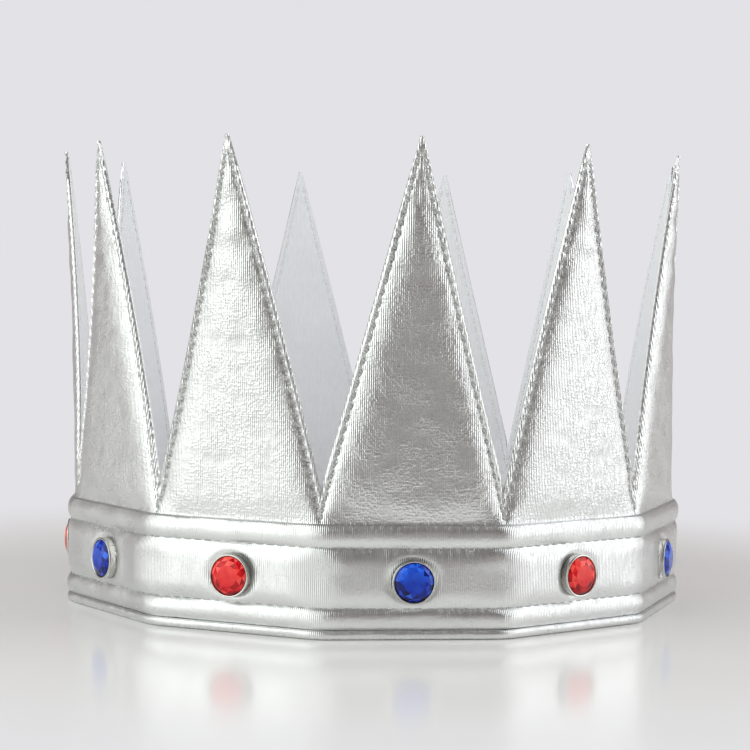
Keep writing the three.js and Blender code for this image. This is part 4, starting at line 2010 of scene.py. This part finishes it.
@dataclass
class Studio:
    """A pale glossy table in a bright room, with tall windows to the left and right of the camera."""

    eye: tuple[float, float, float] = (-0.24015, -0.56596, 0.08844)
    heading: float = math.radians(23.01)
    pitch: float = math.radians(2.2646)
    roll: float = 0.0168
    lens: float = 100.07
    table_radius: float = 2.4
    backdrop: str = "#e3e2e6"
    fill: float = 0.71
    front: float = 8.0  # bearing of the dim part of the room, in degrees right of the camera
    windows: tuple[Window, ...] = (Window("left_window", -58, 22, (1.6, 1.3), 10.6, "#f8fffb"),
                                   Window("right_window", 88, 22, (0.95, 1.3), 7.6, "#fafeff"))

    def direction(self, right: float, up: float = 0.0) -> Vector:
        """A direction from the crown, by its angles right of the camera and above the table.

        Args:
            right: Degrees to the right.
            up: Degrees up.

        Returns:
            A unit direction.
        """
        right, up = math.radians(right), math.radians(up)
        ahead = Vector((math.sin(self.heading), math.cos(self.heading), 0))
        across = Vector((math.cos(self.heading), -math.sin(self.heading), 0))
        flat = -ahead * math.cos(right) + across * math.sin(right)
        return flat * math.cos(up) + Vector((0, 0, math.sin(up)))

    def camera(self) -> None:
        """Places the camera."""
        data = bpy.data.cameras.new("camera")
        data.lens, data.sensor_width = self.lens, 36
        data.clip_start, data.clip_end = 0.01, 20
        camera = bpy.data.objects.new("camera", data)
        ahead = Vector((math.sin(self.heading) * math.cos(self.pitch),
                        math.cos(self.heading) * math.cos(self.pitch),
                        -math.sin(self.pitch)))
        across = Vector((math.cos(self.heading), -math.sin(self.heading), 0))
        above = across.cross(ahead)
        right = math.cos(self.roll) * across + math.sin(self.roll) * above
        up = math.cos(self.roll) * above - math.sin(self.roll) * across
        axes = Matrix((right, up, -ahead)).transposed().to_4x4()
        camera.matrix_world = Matrix.Translation(self.eye) @ axes
        bpy.context.scene.collection.objects.link(camera)
        bpy.context.scene.camera = camera

    def hang(self, window: Window) -> None:
        """Hangs a window's light.

        Args:
            window: The window.
        """
        data = bpy.data.lights.new(window.name, "AREA")
        data.color = linear(window.colour)[:3]
        data.shape, data.size, data.size_y = "RECTANGLE", *window.size
        data.energy = window.power
        light = bpy.data.objects.new(window.name, data)
        away = self.direction(window.right, window.up)
        light.location = away * window.distance + Vector((0, 0, 0.05))
        light.rotation_mode = "QUATERNION"
        light.rotation_quaternion = away.to_track_quat("Z", "Y")
        bpy.context.scene.collection.objects.link(light)

    def table(self) -> None:
        """Lays the table top: pale lacquer that carries a soft reflection and melts into the room."""
        material, add = new_material("pale_lacquered_table")
        place = add("ShaderNodeTexCoord", output="Object")
        haze = add("ShaderNodeTexNoise", {"Vector": place, "Scale": 9.0, "Detail": 2.0})
        dull = add("ShaderNodeMapRange", {"Value": haze, "To Min": 0.12, "To Max": 0.17})
        tint = add("ShaderNodeMix", {"Factor": haze, "A": linear("#f0eeec"), "B": linear("#f5f4f2")},
                        data_type="RGBA", output="Result")
        path = add("ShaderNodeLightPath").node.outputs
        reach = add("ShaderNodeVectorMath", {0: place}, operation="LENGTH", output="Value")
        bearing = add("ShaderNodeVectorMath", {0: place}, operation="NORMALIZE")
        front = add("ShaderNodeVectorMath", {0: bearing, 1: self.direction(self.front)},
                         operation="DOT_PRODUCT", output="Value")
        sector = add("ShaderNodeMapRange", {"Value": front, "From Min": 0.55, "From Max": 0.92},
                          interpolation_type="SMOOTHSTEP")
        away = add("ShaderNodeMapRange", {"Value": reach, "From Min": 0.14, "From Max": 0.26},
                        interpolation_type="SMOOTHSTEP")
        shaded = add("ShaderNodeMath", {0: sector, 1: away}, operation="MULTIPLY")
        shaded = add("ShaderNodeMath", {0: shaded, 1: path["Is Glossy Ray"]}, operation="MULTIPLY")
        tint = add("ShaderNodeMix", {"Factor": shaded, "A": tint, "B": linear("#a5a39e")},
                        data_type="RGBA", output="Result")
        lacquer = add("ShaderNodeBsdfPrincipled", {"Base Color": tint, "Roughness": dull,
                                                              "IOR": 1.45})
        haze_light = add("ShaderNodeEmission", {"Color": linear(self.backdrop)})
        far = add("ShaderNodeMapRange", {"Value": reach, "From Min": 0.13, "From Max": 0.28},
                       interpolation_type="SMOOTHSTEP")
        melted = add("ShaderNodeMath", {0: far, 1: path["Is Camera Ray"]}, operation="MULTIPLY")
        shader = add("ShaderNodeMixShader", {0: melted, 1: lacquer, 2: haze_light})
        add("ShaderNodeOutputMaterial", {"Surface": shader})
        grid = bmesh.new()
        bmesh.ops.create_circle(grid, cap_ends=True, segments=96, radius=self.table_radius)
        mesh = bpy.data.meshes.new("table_top")
        grid.to_mesh(mesh)
        grid.free()
        table = bpy.data.objects.new("table_top", mesh)
        bpy.context.scene.collection.objects.link(table)
        dress(table, material)

    def room(self) -> None:
        """Fills the room with light: pale behind the crown, dim in front of it and overhead."""
        world = bpy.data.worlds.new("room")
        bpy.context.scene.world = world
        world.use_nodes = True
        world.node_tree.nodes.clear()
        add = partial(add_node, world.node_tree)
        way = add("ShaderNodeTexCoord", output="Generated")
        front = add("ShaderNodeVectorMath", {0: way, 1: self.direction(self.front)},
                         operation="DOT_PRODUCT", output="Value")
        facing = add("ShaderNodeMapRange", {"Value": front, "From Min": -0.3,
                                                       "From Max": 0.85, "To Min": 0.45, "To Max": 0.36})
        up = add("ShaderNodeSeparateXYZ", {0: way}, output="Z")
        ceiling = add("ShaderNodeMapRange", {"Value": up, "From Min": 0.0, "From Max": 0.34, "To Min": 1.08,
                                                        "To Max": 0.5})
        level = add("ShaderNodeMath", {0: facing, 1: ceiling}, operation="MULTIPLY")
        lit = add("ShaderNodeBackground", {"Color": linear("#fff6f5"), "Strength": level})
        seen = add("ShaderNodeBackground", {"Color": linear(self.backdrop), "Strength": 1.0})
        fill = add("ShaderNodeBackground", {"Color": linear("#ffffff"), "Strength": self.fill})
        path = add("ShaderNodeLightPath").node.outputs
        both = add("ShaderNodeMixShader", {0: path["Is Glossy Ray"], 1: fill, 2: lit})
        both = add("ShaderNodeMixShader", {0: path["Is Camera Ray"], 1: both, 2: seen})
        add("ShaderNodeOutputWorld", {"Surface": both})

    def build(self) -> None:
        """Sets up the camera, the table and the light."""
        self.camera()
        self.table()
        self.room()
        for window in self.windows:
            self.hang(window)
        bpy.context.scene.view_settings.view_transform = "Standard"


def main() -> None:
    """Builds the crown and its studio, in order."""
    logging.basicConfig(level=logging.INFO, format="%(name)s: %(message)s")
    plan = CrownPlan()
    Studio().build()
    finishes = Wardrobe()
    for sub_assembly in (PointsCloth, Headband, Lining, BottomBinding, FoamInserts, EdgeStitching,
                         GemSetting):
        sub_assembly(plan, finishes).build()
    ClosureTape(plan, finishes, Pile.HOOKS, Section.OUTER_END, "hook_tape", along=-14.25, width=16.5,
                out=-4.12,
                pitch=1.3, pile_height=0.42).build()
    ClosureTape(plan, finishes, Pile.LOOPS, Section.INNER_END, "loop_tape", along=0.25, width=28.5, out=0.22,
                pitch=1.0, pile_height=0.5).build()


if __name__ == "__main__":
    main()
